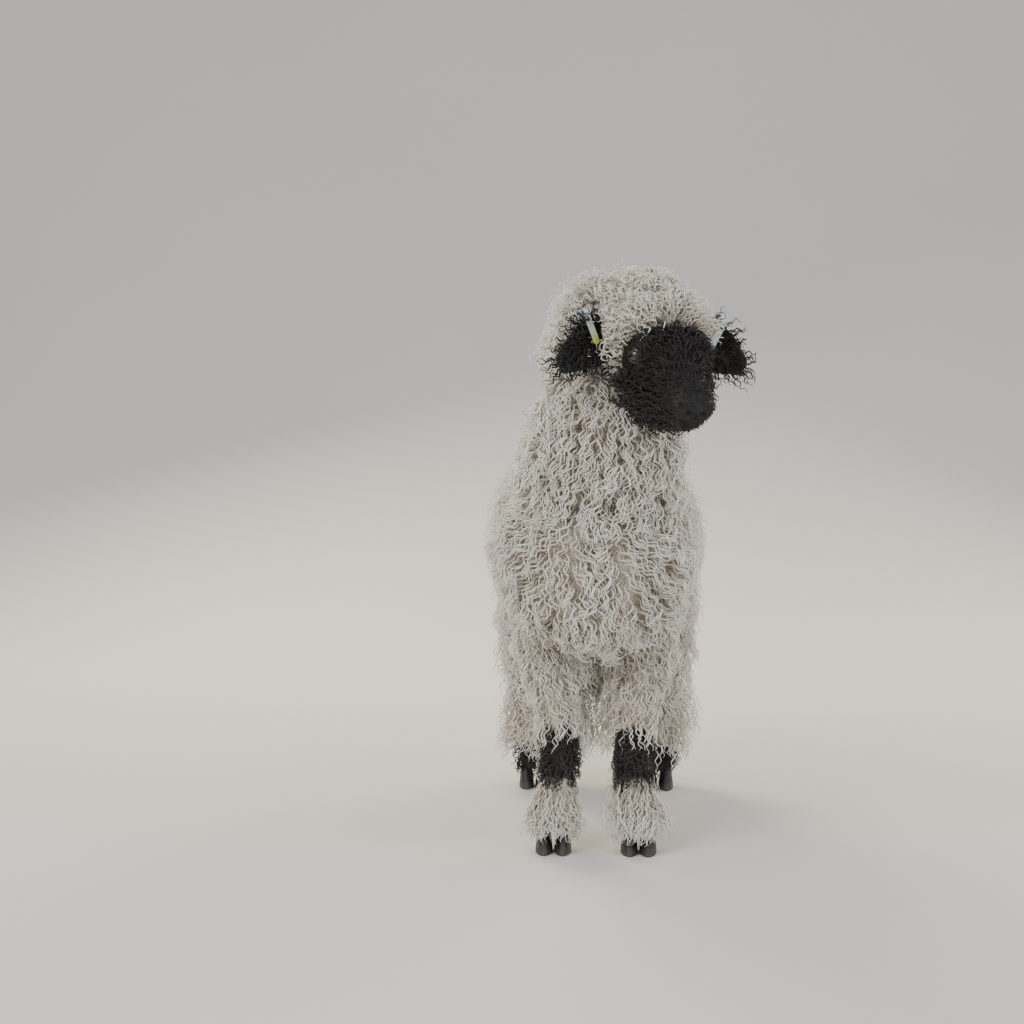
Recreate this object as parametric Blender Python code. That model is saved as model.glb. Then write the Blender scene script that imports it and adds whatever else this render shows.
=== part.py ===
"""Valais blacknose lamb standing four-square with its head turned to its left.

Life size, in metres. The lamb faces -Y, +X is its own left, +Z is up, and the floor is z = 0.
The flesh is a set of lofts along the trunk, neck, head and limbs, with a thin core of fleece on it.
Rounded clumps of curls are set close over that core, and flat locks hang round the feet. The whole
is then parted into named nodes by thin cuts.
"""

import math
import random

import bmesh
import bpy
from mathutils import Matrix, Vector
from mathutils.bvhtree import BVHTree

# Driving dimensions

GAP = 0.0003                     # left between two nodes that touch
BOX_CENTRE = Vector((0.019, -0.035, 0.0))   # middle of the lamb's box, which moves to the origin

COAT = 0.045                     # depth of the body's fleece
CAP_COAT = 0.048                 # fleece on top of the crown
FACE_COAT = 0.012                # short black wool of the cheeks and brow
NOSE_COAT_SHARE = 0.3            # how much of it is left at the nose
THROAT_COAT = 0.024              # black wool that hangs under the jaw
CORE_SHARE = 0.42                # share of the coat's depth that its solid core fills
CORE_SIDES = {"trunk": 16, "neck": 14, "crown": 14, "tail": 6, "leg": 8}
COVERED_SHARE = 0.85             # a clump whose tip is this deep in another form is left out
FALL = Vector((0.0, 0.0, -1.0))              # lie of the fleece on the neck, legs and tail
BACKWARD_FALL = Vector((0.0, 0.35, -1.0))    # lie of the fleece on the trunk
SEED = 10                        # for the small differences between clumps

# Distance between clumps on each part of the coat
CLUMP_SPACING = {
    "trunk": 0.080,
    "neck": 0.062,
    "crown": 0.050,
    "front_leg": 0.056,
    "hind_leg": 0.074,
    "tail": 0.052,
}
CLUMP_WIDE = 0.62                # half width of a clump, as a share of the spacing
CLUMP_LONG = 0.68                # half length along the lie
CLUMP_HIGH = 0.80                # its height over its widest ring, as a share of the coat's depth
CLUMP_DROOP = 0.16               # how far its top leans along the lie, as a share of the spacing
CLUMP_VARY = 0.10                # how much clumps differ in size
CLUMP_SIDES = 6
TRIANGLES_LEFT = 0.65            # share kept when the slivers between clumps are collapsed
CLUMP_RINGS = (32.0, 66.0, 104.0)   # angles of its rings from its top, in degrees
CLUMP_FOOT = 0.6                 # how far it narrows down into the core, as a share of its height
CLUMP_STRAY = 0.20               # how far it strays from its row, as a share of the spacing
LEG_SPLIT_Z = 0.258              # legs are parted from the trunk at the belly line
CORONET_Z = 0.034                # wool and pastern end here, the hoof begins

# Trunk flesh: place along Y, height of the middle, half width, half height
TRUNK_ASIDE = -0.003
TRUNK_STATIONS = (
    (-0.290, 0.385, 0.035, 0.055),
    (-0.265, 0.392, 0.070, 0.078),
    (-0.220, 0.396, 0.088, 0.088),
    (-0.150, 0.406, 0.094, 0.096),
    (-0.050, 0.406, 0.098, 0.096),
    (0.050, 0.406, 0.104, 0.096),
    (0.140, 0.409, 0.100, 0.094),
    (0.210, 0.412, 0.094, 0.092),
    (0.260, 0.412, 0.084, 0.085),
    (0.295, 0.405, 0.060, 0.065),
    (0.310, 0.400, 0.030, 0.035),
)

# Neck flesh: middle of each section, half width, half depth, and depth of fleece
NECK_STATIONS = (
    ((-0.002, -0.150, 0.400), 0.073, 0.092, 0.045),
    ((0.000, -0.205, 0.470), 0.068, 0.080, 0.045),
    ((0.010, -0.240, 0.530), 0.059, 0.066, 0.045),
    ((0.022, -0.260, 0.595), 0.048, 0.055, 0.045),
    ((0.030, -0.268, 0.650), 0.044, 0.046, 0.045),
    ((0.032, -0.271, 0.690), 0.038, 0.037, 0.045),
    ((0.028, -0.273, 0.715), 0.024, 0.026, 0.043),
    ((0.027, -0.274, 0.728), 0.009, 0.010, 0.030),
)

# Head pose: the head is turned to the lamb's left and hangs a little
HEAD_CENTRE = Vector((0.067, -0.322, 0.667))     # midway between the ears
HEAD_YAW = math.radians(20)
HEAD_PITCH = math.radians(32)
HEAD_ROLL = math.radians(3)

# Skull and upper lip along the muzzle's direction: distance, half width, top, bottom
HEAD_STATIONS = (
    (-0.048, 0.026, 0.030, 0.022),
    (-0.034, 0.042, 0.045, 0.042),
    (0.000, 0.050, 0.053, 0.052),
    (0.035, 0.051, 0.050, 0.050),
    (0.062, 0.044, 0.041, 0.044),
    (0.090, 0.034, 0.032, 0.036),
    (0.118, 0.029, 0.025, 0.023),
    (0.143, 0.028, 0.019, 0.0185),
    (0.158, 0.023, 0.010, 0.0165),
    (0.166, 0.013, -0.001, 0.0120),
)
# Lower jaw, a little narrower than the upper lip: distance, half width, top, bottom
JAW_STATIONS = (
    (0.020, 0.040, -0.020, 0.054),
    (0.065, 0.034, -0.006, 0.052),
    (0.095, 0.0265, 0.000, 0.046),
    (0.125, 0.0225, 0.004, 0.040),
    (0.147, 0.0190, 0.008, 0.0345),
    (0.156, 0.0120, 0.014, 0.0290),
)
# The woolly cap of the crown: its reach forward of and behind the ears, and its flesh
CROWN_REACH = 0.046
CROWN_BACK = -0.080
CROWN_UP = 0.004
CROWN_ASIDE = -0.010             # the wool of the crown leans to the lamb's right
CROWN_HALF = (0.047, 0.046, 0.030)
CROWN_LOW = -0.030               # its clumps end here, under the ears

EYE_RADIUS = 0.0115
EYE_FORWARD = 0.056
EYE_ASIDE = 0.0395
EYE_UP = 0.009
ORBIT_RADIUS = 0.018             # shallow bowl in the face wool round each eye
ORBIT_OUT = 0.0175
LID_RADIUS = 0.0026
LID_LONG = math.radians(56)      # half length of the eye opening, seen from the eye's centre
LID_OPEN = {"upper": math.radians(30), "lower": math.radians(-24)}

NOSTRIL_PLACE = (0.1605, 0.0115, 0.001)
NOSTRIL_SIZE = (0.0030, 0.0085, 0.0060)

EAR_LENGTH = 0.090
EAR_WIDTH = 0.066
EAR_THICK = 0.009
EAR_CUP = 0.010                  # how deep the ear is cupped along its middle
EAR_ASIDE = {"left": 0.045, "right": -0.053}     # root of each ear from the head's middle
EAR_UP = 0.010
EAR_FACING = Vector((0.0, -1.0, -0.15))          # where the open side of each ear looks
# Direction of each ear in the head's own left, forward and up
EAR_AIM = {"left": (0.94, 0.06, -0.30), "right": (-0.90, 0.40, -0.24)}

EAR_CLEARANCE = 0.0012           # left round an ear by the head and neck wool

# Each tag is a strap bent over the ear's upper edge, with a stud through the ear
TAG_WIDTH = 0.0085
TAG_THICK = 0.0015
TAG_DOWN = 0.036                 # how far its front leg reaches across the ear
TAG_STANDOFF = 0.0006            # clear of the ear's two faces
TAG_PLACE = 0.36                 # share of the ear's length from its root
TAG_STUD = 0.0028
TAG_HOLE = 0.0034

# Legs: middle of each section, half width and half depth of the flesh, depth of wool
FRONT_LEG = (
    ((0.062, -0.150, 0.330), 0.034, 0.052, 0.020),
    ((0.068, -0.160, 0.262), 0.020, 0.030, 0.021),
    ((0.058, -0.172, 0.215), 0.015, 0.020, 0.021),
    ((0.050, -0.182, 0.165), 0.014, 0.016, 0.016),
    ((0.048, -0.184, 0.130), 0.016, 0.018, 0.012),
    ((0.050, -0.182, 0.098), 0.011, 0.013, 0.020),
    ((0.054, -0.182, 0.060), 0.013, 0.016, 0.025),
    ((0.056, -0.192, 0.030), 0.016, 0.018, 0.022),
)
HIND_LEG = (
    ((0.066, 0.165, 0.345), 0.044, 0.085, 0.030),
    ((0.078, 0.172, 0.285), 0.040, 0.062, 0.034),
    ((0.079, 0.196, 0.230), 0.029, 0.040, 0.041),
    ((0.078, 0.228, 0.175), 0.018, 0.026, 0.049),
    ((0.081, 0.232, 0.130), 0.013, 0.017, 0.053),
    ((0.087, 0.224, 0.085), 0.014, 0.016, 0.040),
    ((0.094, 0.216, 0.055), 0.016, 0.017, 0.022),
    ((0.095, 0.212, 0.030), 0.017, 0.019, 0.014),
)

CLUMP_LOW_Z = 0.118              # clumps stop here, above the locks of the feet
FRONT_BELL_TOP = 0.098
HIND_BELL_TOP = 0.128
HIND_BELL_LOW = 0.040
BELL_LOCKS = 8                   # locks round each foot
BELL_OVERLAP = 1.45              # width of a lock, as a share of its part of the ring
BELL_UNEVEN = 0.010              # how much higher some of them end
BELL_THICK = 0.007
BELL_ROOT = 0.25                 # share of the wool's depth at which a lock starts
BELL_TURN_IN = 0.30              # how far its tip turns back in
BELL_TAPER = 0.55                # how much narrower its tip is

TAIL_STATIONS = (
    ((0.0, 0.285, 0.468), 0.014, 0.012, 0.014),
    ((0.0, 0.330, 0.462), 0.013, 0.011, 0.018),
    ((0.0, 0.356, 0.425), 0.012, 0.010, 0.020),
    ((0.0, 0.362, 0.380), 0.010, 0.009, 0.019),
    ((0.0, 0.360, 0.340), 0.008, 0.007, 0.013),
    ((0.0, 0.358, 0.322), 0.004, 0.004, 0.007),
)
TAIL_PLANE_POINT = Vector((0.0, 0.318, 0.440))
TAIL_PLANE_NORMAL = Vector((0.0, 0.97, 0.20)).normalized()
TAIL_HALF_WIDTH = 0.036
TAIL_BLOCK_LOW = 0.300
TAIL_BLOCK_HIGH = 0.510

HOOF_LENGTH = 0.050
HOOF_WIDTH = 0.0235
HOOF_SPLAY = math.radians(5)

# Places of the cuts between neck and trunk, and head and neck
NECK_CUT_POINT = Vector((0.0, -0.190, 0.450))
NECK_CUT_NORMAL = Vector((0.0, -0.567, 0.824)).normalized()
JAW_DEPTH = 0.056                # the head is parted from the neck this far under its middle

SIDES = {"left": 1.0, "right": -1.0}

COLOURS = {
    "fleece": ((0.80, 0.76, 0.68), 0.90),
    "black_wool": ((0.020, 0.018, 0.018), 0.85),
    "hoof_horn": ((0.025, 0.023, 0.022), 0.45),
    "eye": ((0.030, 0.018, 0.010), 0.08),
    "tag_plastic": ((0.62, 0.72, 0.74), 0.40),
}


# Directions of the head

def head_axes():
    """Forward along the muzzle, the head's own left, and up from its crown."""
    forward = Vector((
        math.cos(HEAD_PITCH) * math.sin(HEAD_YAW),
        -math.cos(HEAD_PITCH) * math.cos(HEAD_YAW),
        -math.sin(HEAD_PITCH),
    ))
    left = Vector((math.cos(HEAD_YAW), math.sin(HEAD_YAW), 0.0))
    roll = Matrix.Rotation(-HEAD_ROLL, 3, forward)
    left = roll @ left
    return forward, left, left.cross(forward) * -1.0


FORWARD, LEFT, UP = head_axes()


def head_point(forward, left, up):
    return HEAD_CENTRE + FORWARD * forward + LEFT * left + UP * up


# Materials and mesh helpers

def clear_scene():
    for thing in list(bpy.data.objects):
        bpy.data.objects.remove(thing, do_unlink=True)


def material(name):
    found = bpy.data.materials.get(name)
    if found:
        return found
    colour, roughness = COLOURS[name]
    made = bpy.data.materials.new(name)
    made.use_nodes = True
    shader = made.node_tree.nodes["Principled BSDF"]
    shader.inputs["Base Color"].default_value = (*colour, 1.0)
    shader.inputs["Roughness"].default_value = roughness
    shader.inputs["Metallic"].default_value = 0.0
    return made


def faces_out(bm):
    """Turn the faces of a closed form outwards."""
    bm.normal_update()
    bmesh.ops.recalc_face_normals(bm, faces=bm.faces)
    if bm.calc_volume(signed=True) < 0.0:
        bmesh.ops.reverse_faces(bm, faces=bm.faces)
    bm.normal_update()


def to_object(name, bm, finish, smooth=True):
    """A scene object from a bmesh, with its faces out."""
    faces_out(bm)
    mesh = bpy.data.meshes.new(name)
    bm.to_mesh(mesh)
    bm.free()
    made = bpy.data.objects.new(name, mesh)
    made.data.materials.append(material(finish))
    bpy.context.scene.collection.objects.link(made)
    if smooth:
        mesh.shade_smooth()
        mesh.set_sharp_from_angle(angle=math.radians(50))
    return made


def oval(middle, across, along, half_across, half_up, half_down, sides):
    """A ring of points: an oval with its own reach up and down."""
    ring = []
    for step in range(sides):
        turn = 2.0 * math.pi * step / sides
        rise = math.sin(turn)
        reach = half_up if rise > 0 else half_down
        ring.append(middle + across * (math.cos(turn) * half_across) + along * (rise * reach))
    return ring


def loft(rings):
    """A closed skin through rings that have the same number of points."""
    bm = bmesh.new()
    loops = [[bm.verts.new(point) for point in ring] for ring in rings]
    count = len(rings[0])
    for here, there in zip(loops, loops[1:]):
        for step in range(count):
            after = (step + 1) % count
            bm.faces.new((here[step], here[after], there[after], there[step]))
    bm.faces.new(reversed(loops[0]))
    bm.faces.new(loops[-1])
    bmesh.ops.triangulate(bm, faces=bm.faces)
    faces_out(bm)
    return bm


def tangents(points):
    """Direction of a chain of points at each of them."""
    found = []
    for index in range(len(points)):
        before = points[max(index - 1, 0)]
        after = points[min(index + 1, len(points) - 1)]
        found.append((after - before).normalized())
    return found


def box_between(low, high):
    bm = bmesh.new()
    bmesh.ops.create_cube(bm, size=1.0)
    size = Vector(high) - Vector(low)
    bmesh.ops.scale(bm, verts=bm.verts, vec=size)
    bmesh.ops.translate(bm, verts=bm.verts, vec=(Vector(low) + Vector(high)) / 2.0)
    return bm


def half_space(point, normal, reach=1.2):
    """A large block that fills the side of a plane that its normal points to."""
    bm = box_between((-reach, -reach, 0.0), (reach, reach, reach))
    turn = Vector((0.0, 0.0, 1.0)).rotation_difference(Vector(normal))
    bmesh.ops.rotate(bm, verts=bm.verts, cent=(0, 0, 0), matrix=turn.to_matrix())
    bmesh.ops.translate(bm, verts=bm.verts, vec=Vector(point))
    return bm


# Booleans

def bake(thing):
    """Replace an object's mesh by the one its modifiers give."""
    depsgraph = bpy.context.evaluated_depsgraph_get()
    depsgraph.update()
    mesh = bpy.data.meshes.new_from_object(thing.evaluated_get(depsgraph))
    thing.modifiers.clear()
    thing.data = mesh


def combine(thing, others, operation, solver="MANIFOLD"):
    """Join or cut an object by a collection of closed meshes, which are then removed."""
    group = bpy.data.collections.new("tools")
    bpy.context.scene.collection.children.link(group)
    for index, bm in enumerate(others):
        mesh = bpy.data.meshes.new("tool")
        bm.to_mesh(mesh)
        bm.free()
        group.objects.link(bpy.data.objects.new(f"tool_{index}", mesh))
    modifier = thing.modifiers.new(operation.lower(), "BOOLEAN")
    modifier.operation = operation
    modifier.operand_type = "COLLECTION"
    modifier.collection = group
    modifier.solver = solver
    bake(thing)
    for tool in list(group.objects):
        bpy.data.objects.remove(tool, do_unlink=True)
    bpy.data.collections.remove(group)


def thin_out(thing, share):
    """Collapse the slivers along the creases, so that this share of the triangles is left."""
    modifier = thing.modifiers.new("thin", "DECIMATE")
    modifier.ratio = share
    modifier.use_collapse_triangulate = True
    bake(thing)


def keep_largest(thing):
    """Keep the closed surface that holds the most, and drop loose scraps."""
    bm = bmesh.new()
    bm.from_mesh(thing.data)
    bm.verts.ensure_lookup_table()
    pieces = []
    seen = set()
    for start in bm.verts:
        if start.index in seen:
            continue
        seen.add(start.index)
        stack = [start]
        piece = []
        while stack:
            vert = stack.pop()
            piece.append(vert)
            for edge in vert.link_edges:
                other = edge.other_vert(vert)
                if other.index not in seen:
                    seen.add(other.index)
                    stack.append(other)
        pieces.append(piece)

    def held(piece):
        faces = {face for vert in piece for face in vert.link_faces}
        total = 0.0
        for face in faces:
            corners = [vert.co for vert in face.verts]
            for second, third in zip(corners[1:], corners[2:]):
                total += corners[0].dot(second.cross(third)) / 6.0
        return total

    best = max(pieces, key=held)
    keep = set(best)
    loose = [vert for vert in bm.verts if vert not in keep]
    bmesh.ops.delete(bm, geom=loose, context="VERTS")
    bmesh.ops.triangulate(bm, faces=bm.faces)
    bm.to_mesh(thing.data)
    bm.free()


def copy_of(thing, name):
    made = bpy.data.objects.new(name, thing.data.copy())
    bpy.context.scene.collection.objects.link(made)
    return made


# Flesh and coat forms

class Section:
    """One oval section of a woolly form: its middle, its two directions, its flesh and its coat."""

    def __init__(self, middle, across, up, half_across, half_up, half_down, coat):
        self.middle = middle
        self.across = across
        self.up = up
        self.half_across = half_across
        self.half_up = half_up
        self.half_down = half_down
        self.coat = coat

    def point(self, turn, share):
        """A point at this share of the coat's depth, at an angle round the section."""
        rise = math.sin(turn)
        reach = self.half_up if rise > 0 else self.half_down
        grow = self.coat * share
        return (
            self.middle + self.across * (math.cos(turn) * (self.half_across + grow))
            + self.up * (rise * (reach + grow))
        )

    def towards(self, other, share):
        """The section part of the way to the next one."""
        return Section(
            self.middle.lerp(other.middle, share), self.across.lerp(other.across, share),
            self.up.lerp(other.up, share),
            self.half_across + (other.half_across - self.half_across) * share,
            self.half_up + (other.half_up - self.half_up) * share,
            self.half_down + (other.half_down - self.half_down) * share,
            self.coat + (other.coat - self.coat) * share,
        )


def woolly_form(sections, share, sides):
    """The closed skin of a form at a share of its coat's depth."""
    turns = [2.0 * math.pi * step / sides for step in range(sides)]
    return loft([[section.point(turn, share) for turn in turns] for section in sections])


def trunk_sections(share):
    """The trunk from brisket to rump; its two ends move out with the coat."""
    sections = []
    last = len(TRUNK_STATIONS) - 1
    for index, (y, z, half_width, half_height) in enumerate(TRUNK_STATIONS):
        at_end = index in (0, last)
        out = COAT * share * (math.copysign(1.0, y) if at_end else 0.0)
        coat = COAT * (0.45 if at_end else 1.0)
        sections.append(Section(
            Vector((TRUNK_ASIDE, y + out, z)), Vector((1, 0, 0)), Vector((0, 0, 1)),
            half_width, half_height, half_height, coat,
        ))
    return sections


def spine_sections(stations, side=1.0, level=False):
    """Sections across a bent spine, or level ones for a leg."""
    middles = [Vector((row[0][0] * side, row[0][1], row[0][2])) for row in stations]
    sections = []
    for middle, tangent, row in zip(middles, tangents(middles), stations):
        across = Vector((1, 0, 0))
        depth = Vector((0, 1, 0))
        if not level:
            depth = tangent.cross(across).normalized()
            across = depth.cross(tangent).normalized()
        sections.append(Section(middle, across, depth, row[1], row[2], row[2], row[3]))
    return sections


def nose_fade(along):
    """The face's wool thins from the eyes to the nose."""
    start, end = EYE_FORWARD, HEAD_STATIONS[-1][0]
    share = min(max((along - start) / (end - start), 0.0), 1.0)
    return 1.0 - share * (1.0 - NOSE_COAT_SHARE)


def head_form(coat, sides=18):
    rings = []
    for along, half_width, top, bottom in HEAD_STATIONS:
        wool = coat * nose_fade(along)
        rings.append(oval(
            head_point(along, 0, 0), LEFT, UP,
            half_width + wool, top + wool, bottom + wool, sides,
        ))
    return loft(rings)


def jaw_form(coat, sides=12):
    rings = []
    for along, half_width, top, bottom in JAW_STATIONS:
        half = (bottom - top) / 2.0
        wool = coat * nose_fade(along)
        rings.append(oval(
            head_point(along, 0, -(top + bottom) / 2.0), LEFT, UP,
            half_width + wool, half, half + THROAT_COAT * nose_fade(along), sides,
        ))
    return loft(rings)


def crown_sections(steps=8):
    """The woolly cap over the poll and down behind the cheeks."""
    middle = (CROWN_REACH + CROWN_BACK) / 2.0
    half_long = (CROWN_REACH - CROWN_BACK) / 2.0
    sections = []
    for step in range(steps + 1):
        turn = math.pi * (step + 0.5) / (steps + 1)
        swell = math.sin(turn)
        sections.append(Section(
            head_point(middle - half_long * math.cos(turn), CROWN_ASIDE, CROWN_UP), LEFT, UP,
            CROWN_HALF[0] * swell, CROWN_HALF[1] * swell, CROWN_HALF[2] * swell,
            CAP_COAT * swell,
        ))
    return sections


# Clumps of curls

def even_rows(sections, spacing, share=1.0, fine=12):
    """Sections at even steps along the form's own profile, at a share of its coat's depth."""
    dense = []
    for here, there in zip(sections, sections[1:]):
        dense += [here.towards(there, step / fine) for step in range(fine)]
    dense.append(sections[-1])
    walked = [0.0]
    for here, there in zip(dense, dense[1:]):
        turns = (0.0, math.pi / 2.0, math.pi, 1.5 * math.pi)
        steps = [(there.point(turn, share) - here.point(turn, share)).length for turn in turns]
        walked.append(walked[-1] + sum(steps) / len(steps))
    count = max(2, round(walked[-1] / spacing))
    rows = []
    for row in range(count):
        goal = walked[-1] * (row + 0.5) / count
        index = max(i for i, length in enumerate(walked) if length <= goal)
        index = min(index, len(dense) - 2)
        rows.append((dense[index], dense[index + 1]))
    return rows


def clump(root, out, lie, wide, long, high, droop, spin):
    """A rounded clump of curls: a flattened dome that leans along the lie."""
    across = lie.cross(out).normalized()
    bm = bmesh.new()
    top = bm.verts.new(root + out * high + lie * droop)
    loops = []
    for ring, angle in enumerate(CLUMP_RINGS):
        rise = math.cos(math.radians(angle))
        reach = math.sin(math.radians(angle))
        loop = []
        for step in range(CLUMP_SIDES):
            turn = spin + 2.0 * math.pi * (step + 0.5 * ring) / CLUMP_SIDES
            place = across * (math.cos(turn) * reach * wide) + lie * (math.sin(turn) * reach * long)
            lean = lie * (droop * max(rise, 0.0) ** 2)
            loop.append(bm.verts.new(root + place + lean + out * (rise * high)))
        loops.append(loop)
    foot = bm.verts.new(root - out * (high * CLUMP_FOOT))
    for step in range(CLUMP_SIDES):
        after = (step + 1) % CLUMP_SIDES
        bm.faces.new((top, loops[0][step], loops[0][after]))
        for here, there in zip(loops, loops[1:]):
            bm.faces.new((here[step], there[step], here[after]))
            bm.faces.new((here[after], there[step], there[after]))
        bm.faces.new((loops[-1][step], foot, loops[-1][after]))
    faces_out(bm)
    return bm


def clumps_over(sections, spacing, fall, draw, keep):
    """Rows of clumps round a form, each row turned half a step on the last."""
    made = []
    for row, (section, after) in enumerate(even_rows(sections, spacing)):
        ring = [section.point(math.pi * step / 8.0, 1.0) for step in range(16)]
        girth = sum((b - a).length for a, b in zip(ring, ring[1:] + ring[:1]))
        count = max(3, round(girth / spacing))
        for step in range(count):
            turn = 2.0 * math.pi * (step + 0.5 * (row % 2) + draw.uniform(-0.12, 0.12)) / count
            tip = section.point(turn, 1.0)
            ahead = after.point(turn, 1.0) - tip
            aside = section.point(turn + 0.05, 1.0) - tip
            out = ahead.cross(aside).normalized()
            if out.dot(tip - section.middle) < 0:
                out = -out
            tip += ahead.normalized() * (spacing * draw.uniform(-CLUMP_STRAY, CLUMP_STRAY))
            if not keep(tip):
                continue
            size = 1.0 + draw.uniform(-CLUMP_VARY, CLUMP_VARY)
            lie = fall - out * fall.dot(out) + section.across * draw.uniform(-0.25, 0.25)
            lie = (lie - out * lie.dot(out)).normalized()
            high = section.coat * CLUMP_HIGH * (1.0 + draw.uniform(-CLUMP_VARY, CLUMP_VARY) / 2.0)
            made.append(clump(
                tip - out * high, out, lie, spacing * CLUMP_WIDE * size,
                spacing * CLUMP_LONG * size, high, spacing * CLUMP_DROOP,
                draw.uniform(0.0, 2.0 * math.pi),
            ))
    return made


class Inside:
    """Tells whether a point is inside a closed form."""

    def __init__(self, bm):
        self.tree = BVHTree.FromBMesh(bm)
        bm.free()

    def __call__(self, point):
        """Odd walls on a slanting way out mean that the point is inside."""
        way = Vector((0.37, 0.61, 0.70)).normalized()
        walls = 0
        start = point
        while True:
            wall = self.tree.ray_cast(start, way)[0]
            if wall is None:
                return walls % 2 == 1
            walls += 1
            start = wall + way * 1e-5


# Hanging locks round the feet

def section_at(sections, height):
    """The section of a leg at a height."""
    for here, there in zip(sections, sections[1:]):
        if there.middle.z <= height <= here.middle.z:
            return here.towards(there, (here.middle.z - height) / (here.middle.z - there.middle.z))
    return sections[-1]


def bell_lock(sections, turn, half_turn, high_z, low_z, steps=4):
    """A flat tapered lock that leaves the leg, swells with the bell and turns in at its tip."""
    rings = []
    for step in range(steps + 1):
        share = step / steps
        section = section_at(sections, high_z + (low_z - high_z) * share)
        swell = math.sin(min(share * 2.0, math.pi / 2.0))
        reach = BELL_ROOT + (1.0 - BELL_ROOT) * swell - BELL_TURN_IN * share ** 4
        middle = section.point(turn, reach)
        start = section.point(turn - half_turn, reach)
        across = (section.point(turn + half_turn, reach) - start) / 2.0
        out = (middle - section.middle).normalized()
        taper = 1.0 - BELL_TAPER * share ** 3
        thick = BELL_THICK * (1.0 + taper) / 2.0
        rings.append([
            middle + across * taper, middle + out * thick,
            middle - across * taper, middle - out * thick,
        ])
    return loft(rings)


def bell_locks(sections, low_z, high_z, draw):
    """A ring of overlapping locks that hang over a foot."""
    made = []
    for step in range(BELL_LOCKS):
        turn = 2.0 * math.pi * (step + draw.uniform(-0.1, 0.1)) / BELL_LOCKS
        half_turn = math.pi / BELL_LOCKS * BELL_OVERLAP
        low = low_z + draw.uniform(0.0, 1.0) * BELL_UNEVEN
        made.append(bell_lock(sections, turn, half_turn, high_z, low))
    return made


# Ears, tags, eyes and hooves

def ear_axes(side):
    """Along the ear, across it, and out of its open front face."""
    aim = Vector(EAR_AIM[side]).normalized()
    along = (LEFT * aim[0] + FORWARD * aim[1] + UP * aim[2]).normalized()
    face = (EAR_FACING - along * EAR_FACING.dot(along)).normalized()
    across = face.cross(along).normalized()
    return along, across, face


def ear_root(side):
    return head_point(0.0, EAR_ASIDE[side], EAR_UP)


def ear_half_width(share):
    """A leaf: narrow at the root, widest at two fifths, round at the tip."""
    return EAR_WIDTH / 2.0 * (0.30 + 0.70 * math.sin(math.pi * min(share, 1.0) ** 0.62) ** 0.8)


def ear_middle(side, share):
    """A point on the ear's midrib, which droops a little to its tip."""
    along, across, face = ear_axes(side)
    droop = Vector((0, 0, -1)) * (0.012 * share * share)
    return ear_root(side) + along * (EAR_LENGTH * share) + droop


def ear_form(side, steps=9, sides=10):
    along, across, face = ear_axes(side)
    rings = []
    for step in range(steps + 1):
        share = step / steps
        half = ear_half_width(share)
        thick = EAR_THICK * (1.0 - 0.45 * share)
        cup = EAR_CUP * math.sin(math.pi * min(1.0, share * 1.1 + 0.05))
        middle = ear_middle(side, share)
        ring = []
        for turn_step in range(sides):
            turn = 2.0 * math.pi * turn_step / sides
            sideways = math.cos(turn)
            lift = cup * (sideways * sideways - 0.5)
            ring.append(
                middle + across * (half * sideways)
                + face * (lift + math.sin(turn) * thick / 2.0)
            )
        rings.append(ring)
    return loft(rings)


def make_ear(side):
    """The leaf of the ear, with a hole for its tag's stud."""
    ear = to_object(f"ear_{side}", ear_form(side), "black_wool")
    combine(ear, [stud(side, TAG_HOLE, 0.03)], "DIFFERENCE")
    keep_largest(ear)
    return ear


def tag_frame(side):
    """Where the stud goes through the ear, down across the ear, and out of its face."""
    along, across, face = ear_axes(side)
    down = across if across.z < 0 else -across
    place = ear_middle(side, TAG_PLACE) - face * (EAR_CUP * 0.45)
    return place, down, face, along


def stud(side, radius, length):
    place, down, face, along = tag_frame(side)
    bm = bmesh.new()
    bmesh.ops.create_cone(
        bm, cap_ends=True, segments=12, radius1=radius, radius2=radius, depth=length,
    )
    turn = Vector((0, 0, 1)).rotation_difference(face)
    bmesh.ops.rotate(bm, verts=bm.verts, cent=(0, 0, 0), matrix=turn.to_matrix())
    bmesh.ops.translate(bm, verts=bm.verts, vec=place)
    return bm


def make_tag(side):
    """A strap that runs up one face of the ear, over its edge and down the other."""
    place, down, face, along = tag_frame(side)
    half_gap = EAR_THICK / 2.0 + EAR_CUP * 0.55 + TAG_STANDOFF
    top = ear_half_width(TAG_PLACE) + TAG_STANDOFF + 0.0015
    path = [(TAG_DOWN - top, half_gap), (0.0, half_gap), (-top * 0.7, half_gap)]
    bend = half_gap * 0.95
    for step in range(5):
        turn = math.pi * (step + 0.5) / 5
        path.append((-top - bend * math.sin(turn) * 0.6, half_gap * math.cos(turn)))
    path += [(-top * 0.7, -half_gap), (0.0, -half_gap), (0.008, -half_gap)]
    points = [place + down * reach + face * (out + TAG_THICK / 2.0 * math.copysign(1, out))
              for reach, out in path]
    rings = []
    for point, tangent in zip(points, tangents(points)):
        normal = tangent.cross(along).normalized()
        half_wide = along * (TAG_WIDTH / 2.0)
        half_thick = normal * (TAG_THICK / 2.0)
        rings.append([
            point - half_wide - half_thick, point + half_wide - half_thick,
            point + half_wide + half_thick, point - half_wide + half_thick,
        ])
    tag = to_object(f"tag_{side}", loft(rings), "tag_plastic")
    combine(tag, [stud(side, TAG_STUD, 2.0 * half_gap + TAG_THICK)], "UNION")
    keep_largest(tag)
    return tag


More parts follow.
